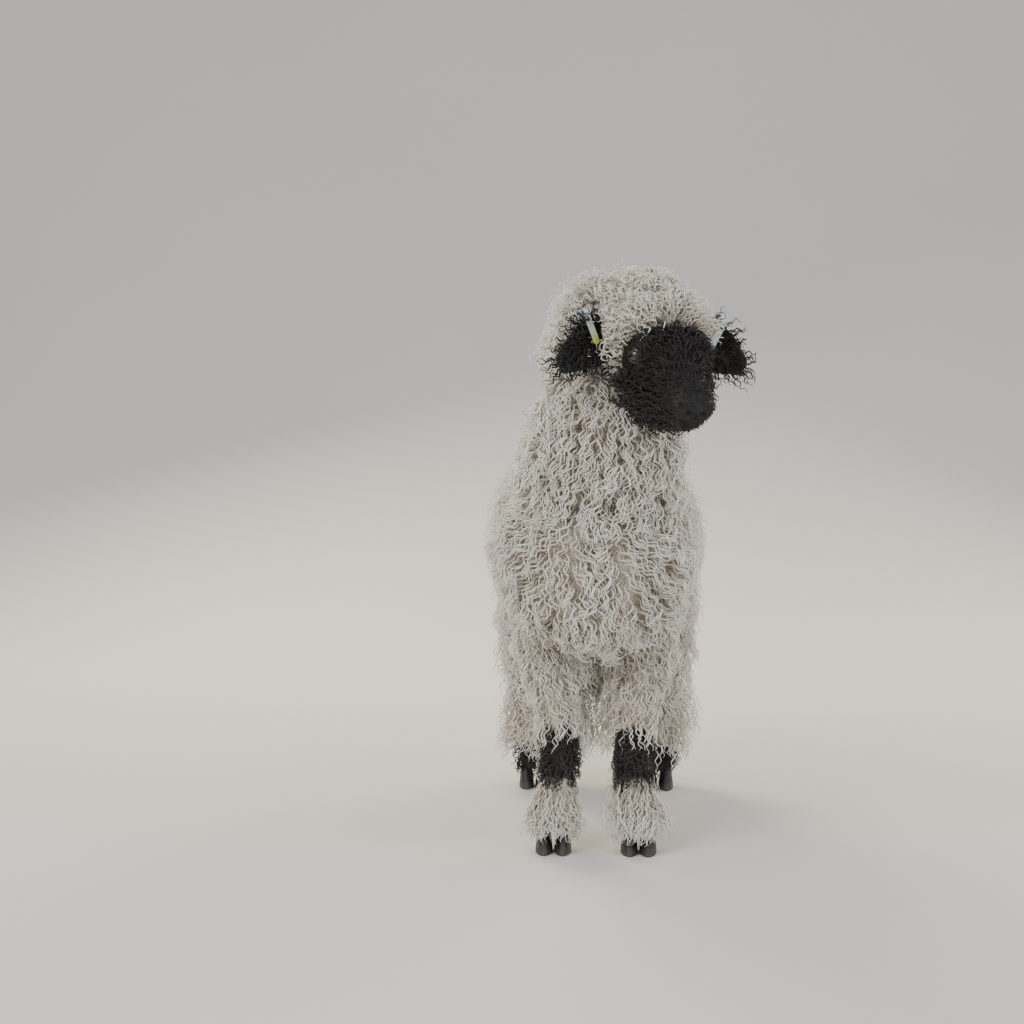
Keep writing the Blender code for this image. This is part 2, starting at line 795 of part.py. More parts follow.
def ear_clearance(side):
    """A convex block round the ear and its tag that the head and neck keep clear of."""
    bm = bmesh.new()
    for name in (f"ear_{side}", f"tag_{side}"):
        for vert in bpy.data.objects[name].data.vertices:
            bm.verts.new(vert.co)
    hull = bmesh.ops.convex_hull(bm, input=bm.verts)
    unused = {item for key in ("geom_interior", "geom_unused") for item in hull[key]}
    spare = [item for item in unused if isinstance(item, bmesh.types.BMVert)]
    bmesh.ops.delete(bm, geom=spare, context="VERTS")
    faces_out(bm)
    moves = [(vert, vert.normal.copy()) for vert in bm.verts]
    for vert, normal in moves:
        vert.co += normal * EAR_CLEARANCE
    return bm


def eye_centre(side):
    return head_point(EYE_FORWARD, EYE_ASIDE * SIDES[side], EYE_UP)


def ball(centre, radius, subdivisions=3):
    bm = bmesh.new()
    bmesh.ops.create_icosphere(bm, subdivisions=subdivisions, radius=radius)
    bmesh.ops.translate(bm, verts=bm.verts, vec=centre)
    return bm


def eye_axes(side):
    """Out of the eye, forward along its opening, and up."""
    out = (LEFT * (0.92 * SIDES[side]) + FORWARD * 0.34 + UP * 0.16).normalized()
    fore = (FORWARD - out * FORWARD.dot(out)).normalized()
    up = (UP - out * UP.dot(out) - fore * UP.dot(fore)).normalized()
    return out, fore, up


def orbit(side):
    """The shallow bowl round the eye."""
    out = eye_axes(side)[0]
    return ball(eye_centre(side) + out * ORBIT_OUT, ORBIT_RADIUS, 2)


def lid_form(side, lid, steps=8, sides=6):
    """A soft ridge over the eyeball from corner to corner."""
    out, fore, up = eye_axes(side)
    centre = eye_centre(side)
    middles = []
    for step in range(steps + 1):
        sweep = LID_LONG * (2.0 * step / steps - 1.0)
        rise = LID_OPEN[lid] * math.cos(sweep / LID_LONG * math.pi / 2.0)
        ray = (
            out * (math.cos(sweep) * math.cos(rise))
            + fore * (math.sin(sweep) * math.cos(rise))
            + up * math.sin(rise)
        )
        middles.append(centre + ray * (EYE_RADIUS + LID_RADIUS * 0.35))
    rings = []
    for step, (middle, tangent) in enumerate(zip(middles, tangents(middles))):
        ray = (middle - centre).normalized()
        wide = tangent.cross(ray).normalized()
        reach = LID_RADIUS * (0.55 + 0.45 * math.sin(math.pi * step / steps))
        rings.append(oval(middle, wide, ray, reach * 1.3, reach, reach, sides))
    return loft(rings)


def nostril(side):
    """A comma slit that opens forward and outward."""
    along, aside, up = NOSTRIL_PLACE
    bm = ball(Vector((0, 0, 0)), 1.0, 1)
    for vert in bm.verts:
        local = vert.co.copy()
        spread = LEFT * (local.x * NOSTRIL_SIZE[0] + local.z * 0.0030)
        vert.co = spread * SIDES[side] + FORWARD * (local.y * NOSTRIL_SIZE[1]) + UP * (local.z * NOSTRIL_SIZE[2])
    bmesh.ops.translate(bm, verts=bm.verts, vec=head_point(along, aside * SIDES[side], up))
    faces_out(bm)
    return bm


def make_eye(side):
    return to_object(f"eye_{side}", ball(eye_centre(side), EYE_RADIUS, 2), "eye")


def make_hoof(name, foot, side, inward, turn):
    """One claw: a flat sole, a sloping front wall and a rounded toe."""
    heel = HOOF_LENGTH * 0.42
    toe = -HOOF_LENGTH * 0.58
    half = HOOF_WIDTH / 2.0
    rings = []
    for height, shrink, back_shift in ((0.0, 1.0, 0.0), (0.016, 0.97, 0.002), (CORONET_Z - GAP, 0.82, 0.006)):
        ring = []
        for step in range(12):
            angle = 2.0 * math.pi * step / 12
            x = math.cos(angle) * half * shrink
            y = math.sin(angle)
            reach = heel if y > 0 else -toe
            ring.append(Vector((x, y * reach * shrink + back_shift, height)))
        rings.append(ring)
    bm = loft(rings)
    offset = (half + GAP * 2) * inward
    bmesh.ops.translate(bm, verts=bm.verts, vec=(offset, 0, 0))
    bmesh.ops.rotate(bm, verts=bm.verts, cent=(0, 0, 0), matrix=Matrix.Rotation(turn, 3, "Z"))
    bmesh.ops.translate(bm, verts=bm.verts, vec=(foot[0] * side, foot[1], 0))
    return to_object(name, bm, "hoof_horn")


def make_hooves():
    for pair, stations in (("front", FRONT_LEG), ("hind", HIND_LEG)):
        foot = stations[-1][0]
        for side_name, side in SIDES.items():
            for claw, outward in (("outer", 1.0), ("inner", -1.0)):
                lean = -HOOF_SPLAY * outward * side * 0.5
                make_hoof(f"hoof_{pair}_{side_name}_{claw}", foot, side, outward * side, lean)


# The whole lamb, and its parting into nodes

def whole_lamb():
    """Flesh, the core of the fleece, and every clump and lock, in one closed skin."""
    draw = random.Random(SEED)
    neck = spine_sections(NECK_STATIONS)
    crown = crown_sections()
    tail = spine_sections(TAIL_STATIONS)
    fronts = [spine_sections(FRONT_LEG, side, True) for side in SIDES.values()]
    hinds = [spine_sections(HIND_LEG, side, True) for side in SIDES.values()]

    in_trunk = Inside(woolly_form(trunk_sections(COVERED_SHARE), COVERED_SHARE, CORE_SIDES["trunk"]))
    in_neck = Inside(woolly_form(neck, COVERED_SHARE, CORE_SIDES["neck"]))
    in_crown = Inside(woolly_form(crown, COVERED_SHARE, CORE_SIDES["crown"]))
    in_legs = [Inside(woolly_form(leg, COVERED_SHARE, CORE_SIDES["leg"])) for leg in fronts + hinds]
    in_face = [Inside(head_form(FACE_COAT)), Inside(jaw_form(FACE_COAT))]

    def on_trunk(tip):
        return not (in_neck(tip) or any(leg(tip) for leg in in_legs))

    def on_neck(tip):
        return not (in_trunk(tip) or in_crown(tip) or any(face(tip) for face in in_face))

    def on_crown(tip):
        low = (tip - HEAD_CENTRE).dot(UP) < CROWN_LOW
        return not (low or in_neck(tip) or any(face(tip) for face in in_face))

    def on_leg(tip):
        return not in_trunk(tip) and tip.z > CLUMP_LOW_Z

    def on_tail(tip):
        return not in_trunk(tip) and tip.y > TAIL_PLANE_POINT.y

    forms = clumps_over(trunk_sections(1.0), CLUMP_SPACING["trunk"], BACKWARD_FALL, draw, on_trunk)
    forms += clumps_over(neck, CLUMP_SPACING["neck"], FALL, draw, on_neck)
    forms += clumps_over(crown, CLUMP_SPACING["crown"], FALL + FORWARD, draw, on_crown)
    forms += clumps_over(tail, CLUMP_SPACING["tail"], FALL, draw, on_tail)
    for leg in fronts:
        forms += clumps_over(leg, CLUMP_SPACING["front_leg"], FALL, draw, on_leg)
        forms += bell_locks(leg, CORONET_Z, FRONT_BELL_TOP, draw)
    for leg in hinds:
        forms += clumps_over(leg, CLUMP_SPACING["hind_leg"], FALL, draw, on_leg)
        forms += bell_locks(leg, HIND_BELL_LOW, HIND_BELL_TOP, draw)

    cores = {"neck": [neck], "crown": [crown], "tail": [tail], "leg": fronts + hinds}
    for kind, members in cores.items():
        forms += [woolly_form(sections, CORE_SHARE, CORE_SIDES[kind]) for sections in members]
    forms += [head_form(FACE_COAT), jaw_form(FACE_COAT)]
    trunk = woolly_form(trunk_sections(CORE_SHARE), CORE_SHARE, CORE_SIDES["trunk"])
    lamb = to_object("lamb", trunk, "fleece")
    combine(lamb, forms, "UNION")
    thin_out(lamb, TRIANGLES_LEFT)
    return lamb


def finish_head(head):
    """Sink the eyes, raise their lids, and open the nostrils and the ears' places."""
    combine(head, [orbit(side) for side in SIDES], "DIFFERENCE")
    combine(head, [lid_form(side, lid) for side in SIDES for lid in LID_OPEN], "UNION")
    for side in SIDES:
        combine(head, [ball(eye_centre(side), EYE_RADIUS + GAP, 2)], "DIFFERENCE")
        combine(head, [nostril(side)], "DIFFERENCE")
        combine(head, [ear_clearance(side)], "DIFFERENCE")


def head_cut(clear):
    """The block above the plane of the jaw, moved down or up by the clearance."""
    return half_space(HEAD_CENTRE - UP * (JAW_DEPTH - clear), UP)


def trunk_side(clear):
    return half_space(NECK_CUT_POINT - NECK_CUT_NORMAL * clear, -NECK_CUT_NORMAL)


def neck_side(clear):
    return half_space(NECK_CUT_POINT + NECK_CUT_NORMAL * clear, NECK_CUT_NORMAL)


def tail_block(clear):
    """A column behind the rump in which the tail hangs."""
    wide = TAIL_HALF_WIDTH + clear
    low = (-wide, TAIL_PLANE_POINT.y - clear, TAIL_BLOCK_LOW - clear)
    high = (wide, TAIL_PLANE_POINT.y + 0.20, TAIL_BLOCK_HIGH + clear)
    bm = box_between(low, high)
    slope = TAIL_PLANE_NORMAL.z / TAIL_PLANE_NORMAL.y
    for vert in bm.verts:
        if vert.co.y < TAIL_PLANE_POINT.y + 0.05:
            vert.co.y -= (vert.co.z - TAIL_PLANE_POINT.z) * slope
    return bm


def part_lamb(lamb):
    """Cut the whole into its named nodes, each cleared of its neighbours."""
    half = GAP / 2.0
    far = 1.0

    head = copy_of(lamb, "head")
    combine(head, [head_cut(half)], "INTERSECT")

    neck = copy_of(lamb, "neck")
    combine(neck, [neck_side(half)], "INTERSECT")
    combine(neck, [head_cut(-half)], "DIFFERENCE")

    torso = copy_of(lamb, "torso")
    combine(torso, [trunk_side(half)], "INTERSECT")
    combine(torso, [half_space((0, 0, LEG_SPLIT_Z + half), (0, 0, 1))], "INTERSECT")
    combine(torso, [tail_block(half)], "DIFFERENCE")

    tail = copy_of(lamb, "tail")
    combine(tail, [tail_block(-half)], "INTERSECT")

    nodes = [head, neck, torso, tail]
    for pair, low_y, high_y in (("front", -far, 0.0), ("hind", 0.0, far)):
        for side_name, side in SIDES.items():
            low_x, high_x = sorted((half * side, far * side))
            cell = box_between((low_x, low_y, CORONET_Z), (high_x, high_y, LEG_SPLIT_Z - half))
            leg = copy_of(lamb, f"leg_{pair}_{side_name}")
            combine(leg, [cell], "INTERSECT")
            nodes.append(leg)

    finish_head(head)
    for side in SIDES:
        combine(neck, [ear_clearance(side)], "DIFFERENCE")

    for node in nodes:
        keep_largest(node)
        node.data.shade_smooth()
        node.data.set_sharp_from_angle(angle=math.radians(50))
    bpy.data.objects.remove(lamb, do_unlink=True)


def centre_all():
    """Put the middle of the lamb's box over the origin."""
    for thing in bpy.data.objects:
        thing.data.transform(Matrix.Translation(-BOX_CENTRE))


def main():
    clear_scene()
    for side in SIDES:
        make_ear(side)
        make_tag(side)
        make_eye(side)
    part_lamb(whole_lamb())
    make_hooves()
    centre_all()


main()
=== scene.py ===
# %% [markdown]
# # A Valais blacknose lamb, life size
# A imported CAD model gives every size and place. This lesson puts a finished surface on it: one
# seamless skin, a curly cream fleece, short black wool on the face, ears and knees, wet eyes, horn
# hooves and two bare plastic ear tags. The lamb stands still, so each piece rides on one body.

# %% Load the frame and keep its box
import math

import bmesh
import bpy
import numpy as np
from mathutils import Matrix, Vector
from mathutils.kdtree import KDTree


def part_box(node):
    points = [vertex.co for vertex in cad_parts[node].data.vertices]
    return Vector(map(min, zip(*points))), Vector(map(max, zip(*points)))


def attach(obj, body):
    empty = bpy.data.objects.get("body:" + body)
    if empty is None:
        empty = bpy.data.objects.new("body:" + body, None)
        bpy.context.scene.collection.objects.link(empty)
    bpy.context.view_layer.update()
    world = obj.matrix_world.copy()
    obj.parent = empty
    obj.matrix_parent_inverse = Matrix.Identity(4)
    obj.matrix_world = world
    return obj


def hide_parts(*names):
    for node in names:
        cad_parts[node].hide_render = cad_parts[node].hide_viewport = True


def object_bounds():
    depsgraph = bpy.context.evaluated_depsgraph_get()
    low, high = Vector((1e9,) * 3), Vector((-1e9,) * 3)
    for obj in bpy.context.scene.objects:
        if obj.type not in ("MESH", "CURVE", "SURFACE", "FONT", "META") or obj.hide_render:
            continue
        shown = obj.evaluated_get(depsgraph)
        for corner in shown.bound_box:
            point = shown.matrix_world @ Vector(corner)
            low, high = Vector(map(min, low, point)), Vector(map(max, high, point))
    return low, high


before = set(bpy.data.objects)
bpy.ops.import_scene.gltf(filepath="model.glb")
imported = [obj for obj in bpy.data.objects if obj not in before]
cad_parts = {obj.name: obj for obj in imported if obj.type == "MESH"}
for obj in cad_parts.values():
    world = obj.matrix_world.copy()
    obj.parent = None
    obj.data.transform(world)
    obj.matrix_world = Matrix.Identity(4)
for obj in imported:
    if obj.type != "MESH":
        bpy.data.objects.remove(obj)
cad_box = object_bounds()
BODY = "root"
print("CAD box", [round(v, 4) for corner in cad_box for v in corner])

# %% [markdown]
# ## Camera
# The photo was taken from about two and a half metres, a little above the lamb's shoulder. A lens of
# 62 mm on a 36 mm sensor gives the same framing. Setting the camera first keeps all that follows
# judged from the right place.

# %% Camera
CAMERA_PLACE = Vector((-0.019, -2.465, 0.582))
camera_data = bpy.data.cameras.new("camera")
camera_data.lens = 62.2
camera_data.sensor_width = 36.0
camera_data.clip_start = 0.05
camera_data.clip_end = 60.0
camera = bpy.data.objects.new("camera", camera_data)
camera.location = CAMERA_PLACE
camera.rotation_euler = (math.radians(90 - 3.3), 0.0, math.radians(2.75))
bpy.context.scene.collection.objects.link(camera)
bpy.context.scene.camera = camera
print("camera at", [round(v, 3) for v in camera.location])

# %% [markdown]
# ## The flesh in sections
# An animal's body is easiest to describe as slices. Each row is one oval slice: its middle, its half
# width, its half height and the depth of wool over it. The same rows serve twice: the skin is drawn
# through them, and each strand later asks them how long it should be. The numbers are those the CAD
# model was drawn with. MIDDLE takes them to the frame, whose origin lies under the middle of its box.

# %% Sections of trunk, neck, legs and tail
MIDDLE = Vector((0.019, -0.035, 0.0))
COAT = 0.045
SKIN_SHARE = 0.40        # the skin lies this far out in the coat

TRUNK_ROWS = (
    (-0.290, 0.385, 0.035, 0.055), (-0.265, 0.392, 0.070, 0.078), (-0.220, 0.396, 0.088, 0.088),
    (-0.150, 0.406, 0.094, 0.096), (-0.050, 0.406, 0.098, 0.096), (0.050, 0.406, 0.104, 0.096),
    (0.140, 0.409, 0.100, 0.094), (0.210, 0.412, 0.094, 0.092), (0.260, 0.412, 0.084, 0.085),
    (0.295, 0.405, 0.060, 0.065), (0.310, 0.400, 0.030, 0.035),
)
NECK_ROWS = (
    ((-0.002, -0.150, 0.400), 0.073, 0.092, 0.045), ((0.000, -0.205, 0.470), 0.068, 0.080, 0.045),
    ((0.010, -0.240, 0.530), 0.059, 0.066, 0.045), ((0.022, -0.260, 0.595), 0.048, 0.055, 0.045),
    ((0.030, -0.268, 0.650), 0.044, 0.046, 0.045), ((0.032, -0.271, 0.690), 0.038, 0.037, 0.045),
    ((0.028, -0.273, 0.715), 0.024, 0.026, 0.043), ((0.027, -0.274, 0.728), 0.009, 0.010, 0.030),
)
FRONT_LEG_ROWS = (
    ((0.062, -0.150, 0.330), 0.034, 0.052, 0.020), ((0.068, -0.160, 0.262), 0.020, 0.030, 0.021),
    ((0.058, -0.172, 0.215), 0.015, 0.020, 0.021), ((0.050, -0.182, 0.165), 0.014, 0.016, 0.016),
    ((0.048, -0.184, 0.130), 0.016, 0.018, 0.012), ((0.050, -0.182, 0.098), 0.011, 0.013, 0.020),
    ((0.054, -0.182, 0.060), 0.013, 0.016, 0.025), ((0.056, -0.192, 0.030), 0.016, 0.018, 0.022),
)
HIND_LEG_ROWS = (
    ((0.066, 0.165, 0.345), 0.044, 0.085, 0.030), ((0.078, 0.172, 0.285), 0.040, 0.062, 0.034),
    ((0.079, 0.196, 0.230), 0.029, 0.040, 0.041), ((0.078, 0.228, 0.175), 0.018, 0.026, 0.049),
    ((0.081, 0.232, 0.130), 0.013, 0.017, 0.053), ((0.087, 0.224, 0.085), 0.014, 0.016, 0.040),
    ((0.094, 0.216, 0.055), 0.016, 0.017, 0.022), ((0.095, 0.212, 0.030), 0.017, 0.019, 0.014),
)
TAIL_ROWS = (
    ((0.0, 0.285, 0.468), 0.014, 0.012, 0.014), ((0.0, 0.330, 0.462), 0.013, 0.011, 0.018),
    ((0.0, 0.356, 0.425), 0.012, 0.010, 0.020), ((0.0, 0.362, 0.380), 0.010, 0.009, 0.019),
    ((0.0, 0.360, 0.340), 0.008, 0.007, 0.013), ((0.0, 0.358, 0.322), 0.004, 0.004, 0.007),
)
print("sections", sum(map(len, (TRUNK_ROWS, NECK_ROWS, FRONT_LEG_ROWS, HIND_LEG_ROWS, TAIL_ROWS))))

# %% [markdown]
# ## The head's own directions
# The head is turned to the lamb's left and hangs a little. Working in its own directions, forward
# along the muzzle, left and up, keeps its two halves alike, whatever way it is turned.

# %% Head directions
HEAD_CENTRE = Vector((0.067, -0.322, 0.667)) - MIDDLE
HEAD_YAW, HEAD_PITCH, HEAD_ROLL = (math.radians(angle) for angle in (20, 32, 3))
FORWARD = Vector((
    math.cos(HEAD_PITCH) * math.sin(HEAD_YAW),
    -math.cos(HEAD_PITCH) * math.cos(HEAD_YAW),
    -math.sin(HEAD_PITCH),
))
LEFT = Matrix.Rotation(-HEAD_ROLL, 3, FORWARD) @ Vector((math.cos(HEAD_YAW), math.sin(HEAD_YAW), 0))
UP = FORWARD.cross(LEFT)
HEAD_TURN = np.array([FORWARD, LEFT, UP])
SIDES = {"left": 1.0, "right": -1.0}


def head_point(forward, left, up):
    """A place in the head's own directions."""
    return HEAD_CENTRE + FORWARD * forward + LEFT * left + UP * up


print("muzzle direction", [round(v, 3) for v in FORWARD])

# %% [markdown]
# The skull, the lower jaw and the woolly crown are three more runs of slices. A slice of the head
# reaches further down than up, so it has two half heights.

# %% Sections of skull, jaw and crown: forward, half width, top, bottom
FACE_COAT = 0.012
THROAT_COAT = 0.033      # the black wool that hangs under the jaw
CAP_COAT = 0.048
SKULL_ROWS = (
    (-0.048, 0.026, 0.030, 0.022), (-0.034, 0.042, 0.045, 0.042), (0.000, 0.050, 0.053, 0.052),
    (0.035, 0.051, 0.050, 0.050), (0.062, 0.044, 0.041, 0.044), (0.090, 0.034, 0.032, 0.036),
    (0.118, 0.029, 0.025, 0.023), (0.143, 0.028, 0.019, 0.0185), (0.158, 0.023, 0.010, 0.0165),
    (0.166, 0.013, -0.001, 0.0120),
)
JAW_ROWS = (
    (0.020, 0.040, -0.020, 0.054), (0.065, 0.034, -0.006, 0.052), (0.095, 0.0265, 0.000, 0.046),
    (0.125, 0.0225, 0.004, 0.040), (0.147, 0.0190, 0.008, 0.0345), (0.156, 0.0120, 0.014, 0.0290),
)
CROWN_REACH, CROWN_BACK, CROWN_UP, CROWN_ASIDE = 0.046, -0.080, 0.004, -0.010
CROWN_HALF = (0.047, 0.046, 0.030)
NOSE_COAT_SHARE = 0.3
EYE_FORWARD, EYE_ASIDE, EYE_UP, EYE_RADIUS = 0.056, 0.0395, 0.009, 0.0115
NOSE_END = SKULL_ROWS[-1][0]


def face_coat(forward):
    """Depth of the face's wool, thinner from the eyes to the nose."""
    share = min(max((forward - EYE_FORWARD) / (NOSE_END - EYE_FORWARD), 0.0), 1.0)
    return FACE_COAT * (1.0 - share * (1.0 - NOSE_COAT_SHARE))


print("wool on brow and nose in mm", face_coat(0.0) * 1000, round(face_coat(NOSE_END) * 1000, 1))

# %% [markdown]
# Each run becomes a `Limb`. It holds dense slices between the given ones, and it can tell, for any
# set of points, which slice they belong to, how far outside it they are, and how deep the coat is.

# %% Limb: a run of oval slices
class Limb:
    def __init__(self, rows, dense=10):
        """rows: middle, across, up, half across, half up, half down, coat."""
        self.rows = rows
        slices = []
        for here, there in zip(rows, rows[1:]):
            for step in range(dense):
                share = step / dense
                slices.append([
                    np.array(a) * (1.0 - share) + np.array(b) * share for a, b in zip(here, there)
                ])
        slices.append([np.array(value) for value in rows[-1]])
        self.middle, self.across, self.up = (np.array([s[k] for s in slices]) for k in range(3))
        self.half = np.array([[float(s[k]) for k in (3, 4, 5)] for s in slices])
        self.coat = np.array([float(s[6]) for s in slices])

    def locate(self, points):
        """For each point: nearest slice, angle round it, distance outside the flesh."""
        normal = np.cross(self.across, self.up)
        index = np.zeros(len(points), int)
        for start in range(0, len(points), 20000):
            part = slice(start, start + 20000)
            offset = points[part, None, :] - self.middle[None, :, :]
            axial = np.abs((offset * normal[None]).sum(2))
            index[part] = (axial + 0.15 * np.linalg.norm(offset, axis=2)).argmin(axis=1)
        offset = points - self.middle[index]
        beyond = np.abs((offset * normal[index]).sum(1)) - 0.008
        across = (offset * self.across[index]).sum(1)
        up = (offset * self.up[index]).sum(1)
        high = np.where(up > 0, self.half[index, 1], self.half[index, 2])
        ratio = np.sqrt((across / self.half[index, 0]) ** 2 + (up / high) ** 2)
        size = np.sqrt(self.half[index, 0] * high)
        return index, np.arctan2(up, across), np.maximum((ratio - 1.0) * size, beyond)


def spine(stations, side=1.0, level=False):
    """A limb across a bent spine, or in level slices for a leg."""
    middles = [Vector((row[0][0] * side, row[0][1], row[0][2])) - MIDDLE for row in stations]
    rows = []
    for place, row in enumerate(stations):
        across, up = Vector((1, 0, 0)), Vector((0, 1, 0))
        if not level:
            before, after = middles[max(place - 1, 0)], middles[min(place + 1, len(middles) - 1)]
            along = (after - before).normalized()
            up = along.cross(across).normalized()
            across = up.cross(along).normalized()
        rows.append((middles[place], across, up, row[1], row[2], row[2], row[3]))
    return Limb(rows)


print("helper ready: Limb")

# %% All limbs of the lamb
def trunk_limb():
    rows = []
    for place, (y, z, wide, high) in enumerate(TRUNK_ROWS):
        end = place in (0, len(TRUNK_ROWS) - 1)
        out = COAT * SKIN_SHARE * math.copysign(1.0, y) if end else 0.0
        middle = Vector((-0.003, y + out, z)) - MIDDLE
        coat = COAT * (0.45 if end else 1.0)
        rows.append((middle, Vector((1, 0, 0)), Vector((0, 0, 1)), wide, high, high, coat))
    return Limb(rows)


def crown_limb(steps=8):
    rows = []
    for step in range(steps + 1):
        turn = math.pi * (step + 0.5) / (steps + 1)
        swell = math.sin(turn)
        forward = (CROWN_REACH + CROWN_BACK) / 2 - (CROWN_REACH - CROWN_BACK) / 2 * math.cos(turn)
        halves = [half * swell for half in CROWN_HALF]
        rows.append((head_point(forward, CROWN_ASIDE, CROWN_UP), LEFT, UP, *halves, CAP_COAT * swell))
    return Limb(rows)


def skull_limb():
    return Limb([
        (head_point(f, 0, 0), LEFT, UP, wide, top, bottom, face_coat(f))
        for f, wide, top, bottom in SKULL_ROWS if top > 0
    ])


def jaw_limb():
    rows = []
    for forward, wide, top, bottom in JAW_ROWS:
        middle, high = head_point(forward, 0, -(top + bottom) / 2), (bottom - top) / 2
        rows.append((middle, LEFT, UP, wide, high, high, face_coat(forward)))
    return Limb(rows)


LIMBS = {"trunk": trunk_limb(), "neck": spine(NECK_ROWS), "tail": spine(TAIL_ROWS)}
for side_name, side in SIDES.items():
    LIMBS[f"front_{side_name}"] = spine(FRONT_LEG_ROWS, side, True)
    LIMBS[f"hind_{side_name}"] = spine(HIND_LEG_ROWS, side, True)
LIMBS["crown"] = crown_limb()
LIMBS["face"] = skull_limb()
LIMBS["jaw"] = jaw_limb()
print("limbs", list(LIMBS))

# %% [markdown]
# ## Drawing a skin through slices
# `create_circle` makes a slice, which is then pressed into its oval, and `bridge_loops` spans two
# slices with faces. The two ends are closed with `holes_fill`. Overlapping closed tubes are no
# problem, because a voxel remesh later turns them into one skin.

# %% Helper: loft a run of slices
def circle_loop(bm, sides):
    """The vertices and the edges of a new circle of radius one."""
    ring = bmesh.ops.create_circle(bm, segments=sides, radius=1.0)["verts"]
    return ring, list({edge for vert in ring for edge in vert.link_edges})


def extrude_loop(bm, loop):
    """Extrude a loop of edges, and return the vertices and the edges of the new loop."""
    made = bmesh.ops.extrude_edge_only(bm, edges=loop)["geom"]
    ring = [item for item in made if isinstance(item, bmesh.types.BMVert)]
    edges = [item for item in made if isinstance(item, bmesh.types.BMEdge)]
    return ring, [edge for edge in edges if all(vert in ring for vert in edge.verts)]


def span_loops(bm, loops):
    """Bridge each loop to the next and close both ends."""
    for here, there in zip(loops, loops[1:]):
        bmesh.ops.bridge_loops(bm, edges=here + there)
    for end in (loops[0], loops[-1]):
        bmesh.ops.holes_fill(bm, edges=end, sides=0)


def loft(bm, rows, share, sides=28):
    """Add a closed tube through oval slices, at a share of the coat's depth."""
    loops = []
    for middle, across, up, half_across, half_up, half_down, coat in rows:
        ring, loop = circle_loop(bm, sides)
        grow = coat * share
        for vert in ring:
            x, y = vert.co.x, vert.co.y
            reach = half_up if y > 0 else half_down
            vert.co = middle + across * (x * (half_across + grow)) + up * (y * (reach + grow))
        loops.append(loop)
    span_loops(bm, loops)


print("helpers ready: circle_loop, extrude_loop, span_loops, loft")

# %% [markdown]
# A bmesh becomes an object at the origin. Its modifiers are applied as soon as they are set, because
# the strands need the final skin.

# %% Helper: from bmesh to finished object
def as_object(name, bm):
    """A scene object at the origin from a bmesh, with its faces turned out."""
    bm.normal_update()
    bmesh.ops.recalc_face_normals(bm, faces=bm.faces)
    mesh = bpy.data.meshes.new(name)
    bm.to_mesh(mesh)
    bm.free()
    made = bpy.data.objects.new(name, mesh)
    bpy.context.scene.collection.objects.link(made)
    return made


def bake(thing):
    """Apply every modifier of an object."""
    graph = bpy.context.evaluated_depsgraph_get()
    graph.update()
    mesh = bpy.data.meshes.new_from_object(thing.evaluated_get(graph))
    thing.modifiers.clear()
    thing.data = mesh
    return thing


def fuse(thing, voxel, smooth):
    """Turn overlapping closed tubes into one skin, and soften where they meet."""
    remesh = thing.modifiers.new("remesh", "REMESH")
    remesh.mode = "VOXEL"
    remesh.voxel_size = voxel
    soften = thing.modifiers.new("soften", "SMOOTH")
    soften.factor = 0.5
    soften.iterations = smooth
    return bake(thing)


def vertex_rows(mesh, label):
    """A three-number property of every vertex, such as its place, as an array of rows."""
    values = np.empty(len(mesh.vertices) * 3)
    mesh.vertices.foreach_get(label, values)
    return values.reshape(-1, 3)


def paint(mesh, label, colours):
    """Store one colour for each vertex."""
    layer = mesh.color_attributes.new(label, "FLOAT_COLOR", "POINT")
    layer.data.foreach_set("color", colours.ravel())


print("helpers ready: as_object, bake, fuse, vertex_rows, paint")

# %% [markdown]
# ## Body skin
# The wool hides most of this skin, so it can be coarse. Its voxels are 5.5 mm wide and well smoothed,
# so that shoulder, neck and haunch flow into each other.

# %% Body skin
BODY_VOXEL, FACE_VOXEL = 0.0055, 0.0016
body_bm = bmesh.new()
for name in ("trunk", "neck", "tail", "front_left", "front_right", "hind_left", "hind_right"):
    loft(body_bm, LIMBS[name].rows, SKIN_SHARE)
body_skin = fuse(as_object("body_skin", body_bm), BODY_VOXEL, 8)
print("body skin faces", len(body_skin.data.polygons))

# %% [markdown]
# ## Ears
# A sheep's ear is a thin leaf, cupped along its middle, narrow at its root and widest at two
# fifths. Its slices are bent ovals. It hangs a little at its tip.

# %% Ear shape
EAR_LENGTH, EAR_WIDTH, EAR_THICK, EAR_CUP, EAR_DROOP = 0.090, 0.066, 0.0055, 0.010, 0.012
EAR_ASIDE, EAR_UP = {"left": 0.045, "right": -0.053}, 0.010
EAR_FACING = Vector((0.0, -1.0, -0.15))
EAR_AIM = {"left": (0.94, 0.06, -0.30), "right": (-0.90, 0.40, -0.24)}


def ear_axes(side):
    """Along the ear, across it, and out of its open face."""
    aim = Vector(EAR_AIM[side]).normalized()
    along = (LEFT * aim[0] + FORWARD * aim[1] + UP * aim[2]).normalized()
    face = (EAR_FACING - along * EAR_FACING.dot(along)).normalized()
    return along, face.cross(along).normalized(), face


def ear_half_width(share):
    return EAR_WIDTH / 2 * (0.30 + 0.70 * math.sin(math.pi * min(share, 1.0) ** 0.62) ** 0.8)


def ear_middle(side, share):
    along = ear_axes(side)[0]
    root = head_point(0.0, EAR_ASIDE[side], EAR_UP)
    return root + along * (EAR_LENGTH * share) + Vector((0, 0, -EAR_DROOP * share * share))


def ear_bend(share):
    return EAR_CUP * math.sin(math.pi * min(1.0, share * 1.1 + 0.05))


